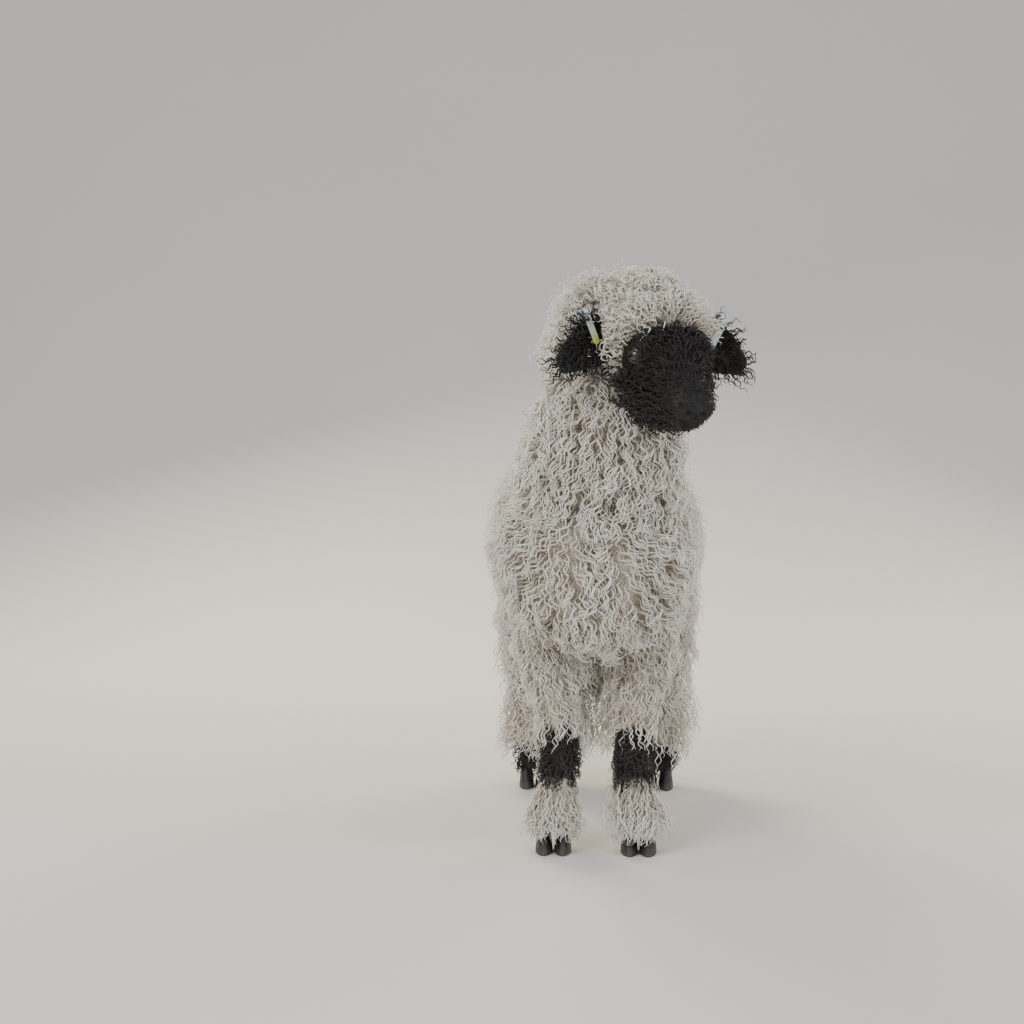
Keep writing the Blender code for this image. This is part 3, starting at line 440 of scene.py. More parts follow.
def add_ear(bm, side, steps=14, sides=24):
    """Loft the bent ovals of one ear, a little inside the solid one."""
    across, face = ear_axes(side)[1:]
    loops = []
    for step in range(steps + 1):
        share = -0.25 + 1.22 * step / steps
        half = ear_half_width(max(share, 0.0)) - 0.0015
        thick = EAR_THICK * (1.0 - 0.45 * max(share, 0.0))
        ring, loop = circle_loop(bm, sides)
        for vert in ring:
            x, y = vert.co.x, vert.co.y
            lift = ear_bend(share) * (x * x - 0.5) + y * thick / 2
            vert.co = ear_middle(side, share) + across * (half * x) + face * lift
        loops.append(loop)
    span_loops(bm, loops)


print("ear width at two fifths in mm", round(ear_half_width(0.4) * 2000, 1))

# %% [markdown]
# ## Head skin
# The face is what people look at first, so it gets voxels of 1.6 mm. Skull, jaw, crown and ears
# are fused, and the small forms are then pressed into the skin by moving its points: the mouth line,
# the nostrils, the groove under the nose, brow ridges and cheekbones.

# %% Head skin
FACE_SHARE = 0.25
head_bm = bmesh.new()
skull_rows = [
    (head_point(f, 0, (top - bottom) / 2), LEFT, UP, wide, (top + bottom) / 2, (top + bottom) / 2,
     face_coat(f))
    for f, wide, top, bottom in SKULL_ROWS
]
loft(head_bm, skull_rows, FACE_SHARE, 40)
loft(head_bm, LIMBS["jaw"].rows, FACE_SHARE, 32)
loft(head_bm, LIMBS["crown"].rows, SKIN_SHARE, 32)
for side in SIDES:
    add_ear(head_bm, side)
head_skin = fuse(as_object("head_skin", head_bm), FACE_VOXEL, 6)
print("head skin faces", len(head_skin.data.polygons))

# %% Press the small forms of the face into the skin
# push outward, then middle and size, each as forward, aside and up
FACE_FORMS = (
    (-0.0078, (0.1620, 0.0095, -0.0030), (0.0070, 0.0036, 0.0032)),    # nostril
    (-0.0050, (0.1560, 0.0165, 0.0025), (0.0055, 0.0042, 0.0028)),     # its narrow outer end
    (0.0016, (0.1560, 0.0140, 0.0090), (0.0080, 0.0060, 0.0040)),      # wing over the nostril
    (0.0035, (0.0560, 0.0380, 0.0260), (0.0200, 0.0120, 0.0080)),      # brow ridge
    (0.0030, (0.0700, 0.0380, -0.0150), (0.0260, 0.0140, 0.0090)),     # cheekbone
    (-0.0030, (0.0760, 0.0400, 0.0100), (0.0110, 0.0140, 0.0080)),     # hollow before the eye
)


def hill(offset, size):
    """A soft hill of height one, with its own width in each direction."""
    return np.exp(-((offset / np.array(size)) ** 2).sum(1))


def sculpt_face(thing):
    mesh = thing.data
    places, normals = vertex_rows(mesh, "co"), vertex_rows(mesh, "normal")
    local = (places - np.array(HEAD_CENTRE)) @ HEAD_TURN.T
    forward, left, up = local.T
    push = np.zeros(len(places))
    for side in SIDES.values():
        mirrored = local * np.array((1.0, side, 1.0))
        for height, middle, size in FACE_FORMS:
            push += height * hill(mirrored - np.array(middle), size)
    # the mouth runs from under the nose back and up along the cheek
    mouth_up = -0.0170 - 0.10 * np.clip(0.150 - forward, 0.0, 0.1)
    along_mouth = np.clip((forward - 0.098) / 0.012, 0.0, 1.0)
    push -= 0.0030 * np.exp(-((up - mouth_up) / 0.0019) ** 2) * along_mouth
    push += 0.0012 * np.exp(-((up - mouth_up - 0.0050) / 0.0032) ** 2) * along_mouth
    # groove from nose to lip
    groove = np.exp(-(left / 0.0016) ** 2) * (forward > 0.150) * (up < -0.002) * (up > mouth_up)
    push -= 0.0016 * groove
    moved = places + normals * push[:, None]
    mesh.vertices.foreach_set("co", moved.ravel())
    mesh.update()
    return push


pushed = sculpt_face(head_skin)
print("deepest and highest push in mm", round(pushed.min() * 1000, 1), round(pushed.max() * 1000, 1))

# %% Join head and body into one skin
def unite(thing, other):
    """One closed skin from two, and the second object is removed."""
    join = thing.modifiers.new("join", "BOOLEAN")
    join.operation = "UNION"
    join.solver = "MANIFOLD"
    join.object = other
    bake(thing)
    bpy.data.objects.remove(other, do_unlink=True)
    return thing


skin = unite(body_skin, head_skin)
skin.name = "skin"
skin.data.shade_smooth()
print("skin faces", len(skin.data.polygons))

# %% [markdown]
# ## Markings
# The breed is cream with a black face, ears, knees and hocks, and black pasterns behind. The black of
# a knee is in front and that of a hock is behind. One function tells how black a place is. Both the
# skin and the strands ask it, so that they always agree.

# %% Where the lamb is black
def smooth_step(low, high, value):
    share = np.clip((value - low) / (high - low), 0.0, 1.0)
    return share * share * (3.0 - 2.0 * share)


def head_local(points):
    return (points - np.array(HEAD_CENTRE)) @ HEAD_TURN.T


def ear_local(points, side):
    """Share along the ear, distance across it, and distance off its face."""
    along, across, face = (np.array(axis) for axis in ear_axes(side))
    root = np.array(head_point(0.0, EAR_ASIDE[side], EAR_UP))
    offset = points - root
    share = (offset @ along) / EAR_LENGTH
    offset = offset + np.outer(EAR_DROOP * np.clip(share, 0, 1.2) ** 2, (0, 0, 1))
    return share, offset @ across, offset @ face


def on_ear(points):
    """One for points of an ear's leaf, nought elsewhere."""
    found = np.zeros(len(points), bool)
    for side in SIDES:
        share, across, off = ear_local(points, side)
        bend = EAR_CUP * np.sin(np.pi * np.clip(share * 1.1 + 0.05, 0, 1))
        off = off - bend * ((across / (EAR_WIDTH / 2)) ** 2 - 0.5)
        found |= (share > 0.14) & (share < 1.15) & (abs(across) < 0.036) & (abs(off) < 0.0048)
    return found


def wobble(points, scale, amount):
    """A slow, repeatable unevenness for the edges of the markings."""
    x, y, z = (points / scale).T
    waves = np.sin(x * 1.7 + 2.1 * np.sin(y)) + np.sin(z * 1.9 + 1.3 * np.sin(x)) + np.sin(y * 2.3 + z)
    return amount * waves / 3


MASK_EDGE = 0.038                                     # ahead of the head's middle, at the eye
KNEE_LOW, KNEE_HIGH, KNEE_BACK = 0.096, 0.172, -0.134
HOCK_LOW, HOCK_HIGH, HOCK_FRONT = 0.140, 0.206, 0.262
PASTERN_TOP = 0.074


def blackness(points, on_head):
    """How black each point is. The mask of the face only reaches points of the head."""
    forward, left, up = head_local(points).T
    forward = forward + wobble(points, 0.006, 0.004)
    # the edge lies further forward on the brow and under the cheek, and further back on the far side
    edge = MASK_EDGE + 0.010 * smooth_step(0.012, 0.046, up) + 0.55 * np.clip(-0.004 - up, 0.0, 0.075)
    edge = edge - 0.034 * smooth_step(0.008, 0.030, left) * smooth_step(0.030, 0.005, up)
    face = smooth_step(-0.003, 0.003, forward - edge) * on_head
    z = points[:, 2] + wobble(points, 0.008, 0.005)
    y = points[:, 1]
    knee = smooth_step(KNEE_LOW, 0.100, z) * smooth_step(KNEE_HIGH, 0.165, z)
    knee = knee * smooth_step(KNEE_BACK, -0.142, y)
    hock = smooth_step(HOCK_LOW, 0.150, z) * smooth_step(HOCK_HIGH, 0.196, z)
    hock = hock * smooth_step(HOCK_FRONT, 0.270, y)
    pastern = smooth_step(PASTERN_TOP, 0.066, z) * (y > 0.0)
    legs = np.maximum(np.maximum(knee, hock), pastern) * (points[:, 2] < 0.25)
    return np.maximum(np.maximum(face, legs), on_ear(points).astype(float))


FACE_PARTS, HEAD_PARTS = ("face", "jaw"), ("face", "jaw", "crown")
print("black at the nose", blackness(np.array([head_point(0.15, 0, 0)]), np.array([True])))

# %% [markdown]
# ## Which limb a place belongs to
# Every point of the skin lies on one limb and outside the others, so the limb with the least
# distance is its own.

# %% Sort points by limb
def sort_by_limb(points):
    """Name of the limb, slice and angle for each point, and the coat's depth there."""
    limb_names = list(LIMBS)
    best = np.full(len(points), 9.0)
    owner = np.zeros(len(points), int)
    slices = np.zeros(len(points), int)
    angles = np.zeros(len(points))
    for number, name in enumerate(limb_names):
        limb = LIMBS[name]
        index, angle, outside = limb.locate(points)
        outside = outside - limb.coat[index] * (FACE_SHARE if name in FACE_PARTS else SKIN_SHARE)
        closer = outside < best
        best[closer], owner[closer] = outside[closer], number
        slices[closer], angles[closer] = index[closer], angle[closer]
    coats = np.array([LIMBS[limb_names[o]].coat[s] for o, s in zip(owner, slices)])
    names = np.array(limb_names)[owner]
    names[on_ear(points)] = "ear"
    return names, slices, angles, coats


def mark_skin(thing):
    """Give the skin the colours the strands have: place along, blackness and tone."""
    places = vertex_rows(thing.data, "co")
    black = blackness(places, np.isin(sort_by_limb(places)[0], HEAD_PARTS))
    paint(thing.data, "wool", np.stack([0.35 + 0 * black, black, 0.5 + 0 * black, 1.0 + 0 * black], 1))
    return black


print("black share of the skin", round(float(mark_skin(skin).mean()), 3))

# %% [markdown]
# ## Scatter the roots
# Strands grow evenly but not in rows. Random points are thrown on the skin, and each one is kept only
# if no kept neighbour is too near. The spacing differs from part to part: closest on ears and face,
# widest on the trunk, and closer again on brisket, feet and inner thighs.

# %% Scatter
SEED = 11
THROWN_PER_SQUARE_METRE = 170000
SPACING = {
    "trunk": 0.0060, "neck": 0.0047, "crown": 0.0044, "tail": 0.0056, "front": 0.0045,
    "hind": 0.0054, "face": 0.0033, "jaw": 0.0036, "ear": 0.0032,
}
FOOT_SPACING, BRISKET_SPACING, THIGH_SPACING = 0.0036, 0.0050, 0.0038
FOOT_TOP, BRISKET_BACK = 0.103, -0.19


def inner_thigh(places, outward):
    """True on the side of a hind leg that faces the other one, above the hock."""
    inward = outward[:, 0] * np.sign(places[:, 0] + MIDDLE.x) < -0.3
    return inward & (places[:, 1] > 0.0) & (places[:, 2] > 0.11)


def throw_points(thing, amount, rng):
    """Random places on a mesh, with the smooth normal at each."""
    mesh = thing.data
    mesh.calc_loop_triangles()
    corners = np.empty(len(mesh.loop_triangles) * 3, np.int32)
    mesh.loop_triangles.foreach_get("vertices", corners)
    corners = corners.reshape(-1, 3)
    places, normals = vertex_rows(mesh, "co"), vertex_rows(mesh, "normal")
    a, b, c = (places[corners[:, k]] for k in range(3))
    areas = np.linalg.norm(np.cross(b - a, c - a), axis=1) / 2
    picked = rng.choice(len(areas), size=int(amount * areas.sum()), p=areas / areas.sum())
    u, v = rng.random(len(picked)), rng.random(len(picked))
    flip = u + v > 1
    u[flip], v[flip] = 1 - u[flip], 1 - v[flip]
    weights = np.stack([1 - u - v, u, v], 1)[:, :, None]
    found = (places[corners[picked]] * weights).sum(1)
    facing = (normals[corners[picked]] * weights).sum(1)
    return found, facing / np.linalg.norm(facing, axis=1)[:, None]


def keep_apart(points, spacing):
    """Indices of points that keep their own spacing from all that were kept before them."""
    cell = spacing.max()
    keys = np.floor(points / cell).astype(int)
    grid = {}
    kept = []
    for index, (key, place, gap) in enumerate(zip(map(tuple, keys), points, spacing)):
        near = [
            other for x in (-1, 0, 1) for y in (-1, 0, 1) for z in (-1, 0, 1)
            for other in grid.get((key[0] + x, key[1] + y, key[2] + z), ())
        ]
        if near and (((points[near] - place) ** 2).sum(1) < gap * gap).any():
            continue
        grid.setdefault(key, []).append(index)
        kept.append(index)
    return np.array(kept)


rng = np.random.default_rng(SEED)
thrown, thrown_normals = throw_points(skin, THROWN_PER_SQUARE_METRE, rng)
names, slices, angles, coats = sort_by_limb(thrown)
spacing = np.array([SPACING[name.split("_")[0]] for name in names])
spacing[(thrown[:, 1] < 0.0) & (thrown[:, 2] < FOOT_TOP)] = FOOT_SPACING
spacing[(names == "trunk") & (thrown[:, 1] < BRISKET_BACK)] = BRISKET_SPACING
on_hind = np.char.startswith(names.astype(str), "hind")
spacing[on_hind & inner_thigh(thrown, thrown_normals)] = THIGH_SPACING
kept = keep_apart(thrown, spacing)
roots, normals = thrown[kept], thrown_normals[kept]
names, slices, angles, coats = names[kept], slices[kept], angles[kept], coats[kept]
black = blackness(roots, np.isin(names, HEAD_PARTS))
print("roots", len(roots), {name: int((names == name).sum()) for name in sorted(set(names))})

# %% [markdown]
# ## The lie of the coat
# Wool hangs: on the flanks it falls down and a little back, on the legs straight down, and on the
# crown it spreads forward over the brow. Pressed flat onto the skin, that direction is the lie.

# %% Lie of the coat
def unit(vectors):
    return vectors / np.maximum(np.linalg.norm(vectors, axis=1), 1e-9)[:, None]


def lie_of_coat():
    fall = np.tile(np.array((0.0, 0.0, -1.0)), (len(roots), 1))
    trunk = names == "trunk"
    fall[trunk] = (0.0, 0.45, -1.0)
    fall[trunk, 0] += 0.30 * np.clip((roots[trunk, 0] + 0.022) / 0.08, -1, 1)
    head = np.isin(names, HEAD_PARTS)
    forward, left = head_local(roots).T[:2]
    x, y, z = (roots / 0.011).T
    swirl = np.stack([np.sin(a + 2 * np.sin(b)) for a, b in ((y, z), (z, x), (x, y))], 1)
    spread = np.outer(np.where(forward > 0.0, 0.7, -0.4), FORWARD) + np.outer(left * 9.0, LEFT)
    fall[head] = (fall * 0.8 + spread + swirl * 0.9)[head]
    face = np.isin(names, FACE_PARTS)
    back_and_down = np.array(FORWARD) * -0.8 + np.array(UP) * -0.5
    fall[face] = (back_and_down + np.outer(left * 22.0, LEFT))[face]
    for side in SIDES:
        share, across = ear_local(roots, side)[:2]
        along_ear, across_ear = (np.array(axis) for axis in ear_axes(side)[:2])
        here = (names == "ear") & (share > 0) & (abs(across) < 0.04)
        high = smooth_step(0.0, 0.010, across * math.copysign(1.0, across_ear[2]))
        hang = np.outer(-0.35 * (1.0 - high), (0, 0, 1))
        fall[here] = (along_ear * 0.8 + np.outer(across * 32.0, across_ear) + hang)[here]
    x, y, z = (roots / 0.035).T
    sway = np.stack([np.sin(1.3 * y + z), np.sin(1.1 * z + x + 2), np.sin(1.7 * x + y + 4)], 1)
    fall = unit(fall) + 0.22 * sway
    flat = fall - normals * (fall * normals).sum(1)[:, None]
    return unit(flat)


lie = lie_of_coat()
print("mean lie on the flanks", np.round(lie[names == "trunk"].mean(0), 2))

# %% [markdown]
# ## Locks
# Strands of wool hold together in locks of about eight, which share their waves and draw together at
# their tips. Some roots are chosen as the middle of a lock, and every strand learns which lock it is in.

# %% Gather strands into locks
LOCK_SPACING, SHORT_LOCK_SPACING = 0.0150, 0.0085
short = np.isin(names, (*FACE_PARTS, "ear"))
lock_middles = keep_apart(roots, np.where(short, SHORT_LOCK_SPACING, LOCK_SPACING))
tree = KDTree(len(lock_middles))
for number, index in enumerate(lock_middles):
    tree.insert(roots[index], number)
tree.balance()
lock_of = np.array([tree.find(place)[1] for place in roots])
to_lock = roots[lock_middles[lock_of]] - roots
lock_draw = rng.random((len(lock_middles), 6))
print("locks", len(lock_middles), "strands in each", round(len(roots) / len(lock_middles), 1))

# %% [markdown]
# ## A strand
# A strand leaves the skin nearly upright, bends over into the lie, and waves as it goes. Because there
# are thousands, all strands of a part are worked out together in arrays.

# %% Helper: the path of each strand
LOOSE = 0.006            # how far a strand may pass the solids' box before it is pressed back


def sum_up(values, gaps):
    """The running sum of a value along each strand, from nought at its root."""
    pieces = (values[:, :-1] + values[:, 1:]) / 2 * gaps
    return np.concatenate([np.zeros((len(values), 1)), np.cumsum(pieces, 1)], 1)


def strand_paths(pick, look, share, draw, lock):
    """The points along each strand, and the direction across its bend."""
    out, down = normals[pick], lie[pick]
    side = np.cross(out, down)
    length = look["length"] * (1.0 + 0.24 * (draw[:, 0] - 0.5) + 0.20 * (lock[:, 0] - 0.5))
    lean_root = look["lean_root"] + 0.30 * (draw[:, 2] - 0.5) + 0.25 * (lock[:, 1] - 0.5)
    lean_tip = look["lean_tip"] + 0.50 * (draw[:, 3] - 0.5) + 0.70 * (lock[:, 2] - 0.5)
    turn_lie = (0.50 * (draw[:, 4] - 0.5) + 1.0 * (lock[:, 3] - 0.5))[:, None]
    down, side = (
        down * np.cos(turn_lie) + side * np.sin(turn_lie),
        side * np.cos(turn_lie) - down * np.sin(turn_lie),
    )
    lean = lean_root[:, None] + (lean_tip - lean_root)[:, None] * share ** 1.15
    step_out, step_down, gaps = np.cos(lean), np.sin(lean), np.diff(share)
    rise, run = (sum_up(step, gaps) * length[:, None] for step in (step_out, step_down))

    wave, wavelength = (np.broadcast_to(look[key], len(pick))[:, None] for key in ("wave", "wavelength"))
    wave = wave * smooth_step(0.0, 0.35, share)[None, :] * (1.0 + 0.3 * share)[None, :]
    turn = 2 * math.pi * length[:, None] * share[None, :] / wavelength
    phase = 2 * math.pi * lock[:, 4] + 1.4 * (draw[:, 5] - 0.5)
    spin = np.where(lock[:, 5] > 0.5, 1.0, -1.0)
    turn = spin[:, None] * turn + phase[:, None]
    sideways, lift = wave * np.cos(turn), wave * look["curl"] * np.sin(turn)
    path = (
        roots[pick][:, None, :]
        + out[:, None, :] * (rise + lift * step_down)[:, :, None]
        + down[:, None, :] * (run - lift * step_out)[:, :, None]
        + side[:, None, :] * sideways[:, :, None]
        + (to_lock[pick] * look.get("gather", 0.6))[:, None, :] * (share ** 1.3)[None, :, None]
    )
    path -= out[:, None, :] * look.get("sink", 0.0015)
    path[:, :, 2] = np.maximum(path[:, :, 2], look.get("lowest", 0.010))
    for axis in range(3):
        low, high = cad_box[0][axis] - LOOSE, cad_box[1][axis] + LOOSE
        inside = np.clip(path[:, :, axis], low, high)
        path[:, :, axis] = inside + (path[:, :, axis] - inside) * 0.25
    return path, side


print("helper ready: strand_paths")

# %% [markdown]
# Each strand is a three-sided tapered tube, and all tubes of a part become one mesh. The faces are
# counted out once for one tube and then repeated.

# %% Helper: tubes along the paths
def tube_vertices(path, side, half):
    """A three-cornered ring round each point of a path but its last, which is the tip."""
    ahead = np.gradient(path, axis=1)
    ahead /= np.maximum(np.linalg.norm(ahead, axis=2), 1e-9)[:, :, None]
    first = side[:, None, :] - ahead * (side[:, None, :] * ahead).sum(2)[:, :, None]
    first /= np.maximum(np.linalg.norm(first, axis=2), 1e-9)[:, :, None]
    second = np.cross(ahead, first)
    rings = []
    for corner in range(3):
        angle = 2 * math.pi * corner / 3 + math.pi / 2
        across = first * (half * math.cos(angle))[:, :, None]
        rings.append(path + across + second * (half * 0.85 * math.sin(angle))[:, :, None])
    rings = np.stack(rings, 2)[:, :-1]
    return np.concatenate([rings.reshape(len(path), -1, 3), path[:, -1:, :]], 1)


def tube_mesh(name, vertices, steps):
    """One mesh of many tubes, and the vertex at each corner of its faces."""
    count, per = vertices.shape[:2]
    quads = []
    for start in range(0, (steps - 1) * 3, 3):
        for corner in range(3):
            after = (corner + 1) % 3
            quads.append((start + corner, start + after, start + 3 + after, start + 3 + corner))
    last = (steps - 1) * 3
    triangles = [(last + corner, last + (corner + 1) % 3, per - 1) for corner in range(3)] + [(2, 1, 0)]
    starts = np.arange(count)[:, None, None] * per
    corners = [(np.array(faces)[None] + starts).reshape(-1) for faces in (quads, triangles)]
    corners = np.concatenate(corners).astype(np.int32)
    quad_count, tri_count = count * len(quads), count * len(triangles)
    begin = np.concatenate([np.arange(quad_count) * 4, quad_count * 4 + np.arange(tri_count) * 3])

    mesh = bpy.data.meshes.new(name)
    mesh.vertices.add(count * per)
    mesh.vertices.foreach_set("co", vertices.astype(np.float32).ravel())
    mesh.loops.add(len(corners))
    mesh.loops.foreach_set("vertex_index", corners)
    mesh.polygons.add(quad_count + tri_count)
    mesh.polygons.foreach_set("loop_start", begin.astype(np.int32))
    mesh.update(calc_edges=True)
    mesh.validate()
    mesh.shade_smooth()
    return mesh, corners


print("helpers ready: tube_vertices, tube_mesh")

# %% [markdown]
# Each strand has its own small patch in the bake map, at the place of its root on an unwrap of the
# skin: along the limb one way and round it the other.

# %% Helper: grow strands as one object
PATCH = 0.003            # size of one strand's patch in the bake map


def bake_spots(pick, along, steps, shift):
    """Where each vertex lies in the bake map: a patch at the place of the root on the limb."""
    place = np.stack([angles[pick] / (2 * math.pi) + 0.5, slices[pick] + shift], 1)
    low, high = place.min(0), place.max(0)
    place = 0.01 + 0.98 * (place - low) / np.maximum(high - low, 1e-6)
    corner_share = np.concatenate([np.tile((0.0, 0.5, 1.0), steps), [0.5]])
    patch = np.stack([along - 0.5, corner_share - 0.5], 1) * PATCH
    return (place[:, None, :] + patch[None]).reshape(-1, 2)


def grow_strands(name, pick, look, steps):
    """look gives length, width, lean at root and tip, and the wave's height, length and curl."""
    draw, lock = rng.random((len(pick), 6)), lock_draw[lock_of[pick]]
    share = np.linspace(0.0, 1.0, steps + 1) ** look.get("crowd", 0.9)
    path, side = strand_paths(pick, look, share, draw, lock)
    taper = (1.0 - 0.75 * share ** 2.2) * (0.75 + 0.25 * smooth_step(0.0, 0.25, share))
    width = look["width"] * (1.0 + 0.4 * (draw[:, 1] - 0.5))
    vertices = tube_vertices(path, side, width[:, None] / 2 * taper[None, :])
    mesh, corners = tube_mesh(name, vertices, steps)

    along = np.concatenate([np.repeat(share[:-1], 3), [1.0]])
    colours = np.ones((*vertices.shape[:2], 4), np.float32)
    colours[:, :, 0] = along[None, :]
    colours[:, :, 1] = black[pick][:, None] * look.get("blackness", 1.0)
    colours[:, :, 2] = (0.5 * draw[:, 1] + 0.5 * lock[:, 0])[:, None]
    paint(mesh, "wool", colours)
    spots = bake_spots(pick, along, steps, draw[:, 0])
    uv = mesh.uv_layers.new(name="OFBake")
    uv.data.foreach_set("uv", spots[corners].astype(np.float32).ravel())

    thing = bpy.data.objects.new(name, mesh)
    bpy.context.scene.collection.objects.link(thing)
    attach(thing, BODY)
    print(name, "strands", len(pick), "triangles", len(pick) * ((steps - 1) * 6 + 4))
    return thing


print("helper ready: grow_strands")

# %% [markdown]
# ## Wool colours
# Cream wool is yellower at its root, where grease and dust sit, and darker there as painted shade
# deep in the fleece; it is paler at its tip. Black wool is darker at its root, also as painted shade,
# and fades to a rusty brown at its tip. Every coat vertex carries three numbers: how far along the
# strand it is, how black it is, and a small tone of its own. A small class keeps the node trees short
# to write.

# %% Helper: node trees
class Tree:
    """Short ways to add nodes to a material or a group."""

    def __init__(self, tree):
        self.nodes, self.links = tree.nodes, tree.links

    def set(self, node, **values):
        """Set inputs of a node. A value is a number, a colour or another node's output."""
        for label, value in values.items():
            self.put(value, node.inputs[label.replace("_", " ")])
        return node

    def put(self, value, socket):
        if isinstance(value, bpy.types.NodeSocket):
            self.links.new(value, socket)
            return
        if isinstance(value, tuple) and len(value) < len(socket.default_value):
            value = (*value, 1.0)
        socket.default_value = value

    def add(self, kind, **values):
        return self.set(self.nodes.new("ShaderNode" + kind), **values)

    def texture(self, kind, **values):
        """A texture in object space."""
        return self.add(kind, Vector=self.add("TexCoord").outputs["Object"], **values)

    def channels(self, name):
        """The three channels of a colour that is stored on the mesh."""
        marks = self.add("Attribute")
        marks.attribute_name = name
        return self.add("SeparateColor", Color=marks.outputs["Color"]).outputs

    def mix(self, factor, first, second):
        """Mix two colours."""
        made = self.add("Mix")
        made.data_type = "RGBA"
        for number, value in ((0, factor), (6, first), (7, second)):
            self.put(value, made.inputs[number])
        return made.outputs[2]

    def ramp(self, value, low, high):
        """Stretch part of a value's range to nought and one."""
        return self.add("MapRange", Value=value, From_Min=low, From_Max=high).outputs["Result"]

    def spread(self, value, low, high):
        """Press nought to one into another range."""
        return self.add("MapRange", Value=value, To_Min=low, To_Max=high).outputs["Result"]

    def bump(self, height, strength, distance, **under):
        made = self.add("Bump", Height=height, Strength=strength, Distance=distance, **under)
        return made.outputs["Normal"]


def new_material(name, roughness, **plain):
    """A Principled material. Numbers that never change go on its own sockets."""
    made = bpy.data.materials.new(name)
    made.use_nodes = True
    tree = Tree(made.node_tree)
    return made, tree, tree.set(tree.nodes["Principled BSDF"], Roughness=roughness, **plain)


print("helpers ready: Tree, new_material")

# %% Shader group: fine fibres
def fibre_group():
    """Fine crimped grain in object space: a height for bump and a soft patchy tone."""
    group = bpy.data.node_groups.new("wool_grain", "ShaderNodeTree")
    for where, labels in (("INPUT", ("Scale", "Patch Scale")), ("OUTPUT", ("Height", "Patch"))):
        for label in labels:
            group.interface.new_socket(name=label, in_out=where, socket_type="NodeSocketFloat")
    tree = Tree(group)
    given = tree.nodes.new("NodeGroupInput").outputs
    fine = tree.texture("TexNoise", Scale=given["Scale"], Detail=3.0, Distortion=1.2)
    patch = tree.texture("TexNoise", Scale=given["Patch Scale"], Detail=2.0)
    tree.set(tree.nodes.new("NodeGroupOutput"), Height=fine.outputs["Fac"], Patch=patch.outputs["Fac"])
    return group


wool_grain = fibre_group()
print("group", wool_grain.name)

# %% Wool material
# the root colours are darker as painted shade deep in the fleece; the cream one is also yellow with
# grease
CREAM_ROOT_GREASE_AND_SHADE, CREAM_TIP, CREAM_WARM = (0.60, 0.54, 0.44), (0.87, 0.84, 0.78), (0.80, 0.75, 0.65)
BLACK_ROOT_SHADE, BLACK_TIP, BLACK_RUST = (0.006, 0.005, 0.005), (0.015, 0.013, 0.013), (0.026, 0.019, 0.016)


def wool_material(name, sheen, roughness):
    made, tree, shader = new_material(name, roughness, Sheen_Weight=sheen, Sheen_Roughness=0.5)
    marks = tree.channels("wool")
    grain = tree.nodes.new("ShaderNodeGroup")
    grain.node_tree = wool_grain
    tree.set(grain, Scale=1400.0, Patch_Scale=22.0)
    outward = tree.ramp(marks["Red"], 0.1, 0.75)
    tone = tree.ramp(marks["Blue"], 0.1, 0.9)
    patch = tree.ramp(grain.outputs["Patch"], 0.35, 0.65)
    cream_end = tree.mix(patch, tree.mix(tone, CREAM_WARM, CREAM_TIP), CREAM_TIP)
    # towards the root the colour darkens: painted shade deep in the fleece, with yellow grease on cream
    # wool
    cream = tree.mix(outward, CREAM_ROOT_GREASE_AND_SHADE, cream_end)
    black_wool = tree.mix(outward, BLACK_ROOT_SHADE, tree.mix(tone, BLACK_TIP, BLACK_RUST))
    relief = tree.bump(grain.outputs["Height"], 0.5, 0.0006)
    tree.set(shader, Base_Color=tree.mix(marks["Green"], cream, black_wool), Normal=relief)
    return made


wool = wool_material("wool", 0.15, 0.82)
dark_wool = wool_material("dark_wool", 0.03, 0.75)
print("materials", wool.name, dark_wool.name)

# %% [markdown]
# ## Skin material
# Under the fleece the skin shows only as a matted ground of wool, darker in the hollows of its curls
# as painted shade. Round nose, lips and eyes it is bare, black and faintly pebbled. The same marks
# attribute tells which is which.

# %% Skin material
def skin_material():
    made, tree, shader = new_material("skin", 0.7, Specular_IOR_Level=0.35)
    curls = tree.texture("TexNoise", Scale=160.0, Detail=4.0, Distortion=2.5).outputs["Fac"]
    pebbles = tree.texture("TexVoronoi", Scale=900.0).outputs["Distance"]
    # colour follows the curls' bump: darker in their hollows as painted shade, on cream and black skin
    # alike
    curl_shade = tree.ramp(curls, 0.3, 0.7)
    cream = tree.mix(curl_shade, (0.50, 0.44, 0.35), (0.74, 0.69, 0.60))
    dark = tree.mix(curl_shade, (0.005, 0.004, 0.004), (0.013, 0.011, 0.010))
    fine = tree.bump(pebbles, 0.35, 0.0003)
    tree.set(
        shader, Base_Color=tree.mix(tree.channels("wool")["Green"], cream, dark),
        Roughness=tree.spread(tree.ramp(pebbles, 0.0, 1.0), 0.48, 0.75),
        Normal=tree.bump(curls, 0.5, 0.0015, Normal=fine),
    )
    return made


skin.data.materials.clear()
skin.data.materials.append(skin_material())
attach(skin, BODY)
FLESH = [
    "head", "neck", "torso", "tail", "ear_left", "ear_right",
    "leg_front_left", "leg_front_right", "leg_hind_left", "leg_hind_right",
]
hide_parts(*FLESH)
print("skin stands for", len(FLESH), "nodes")

# %% [markdown]
# ## The fleece
# On trunk and neck a strand is some five centimetres long, with a wave every two centimetres. The
# coat's depth comes from the slices, so the fleece reaches about as far out as the solid clumps do.
# A few strands are thinner and stand clear of the rest. On the top of the head they are short, and
# they are longest beside the near ear.

# %% Looks of each kind of wool
STAND = 0.47             # how far out a strand reaches, as a share of its length
STRAY_SHARE = 0.04
TOP_FROM, TOP_TO = 0.685, 0.715      # heights between which the wool grows short


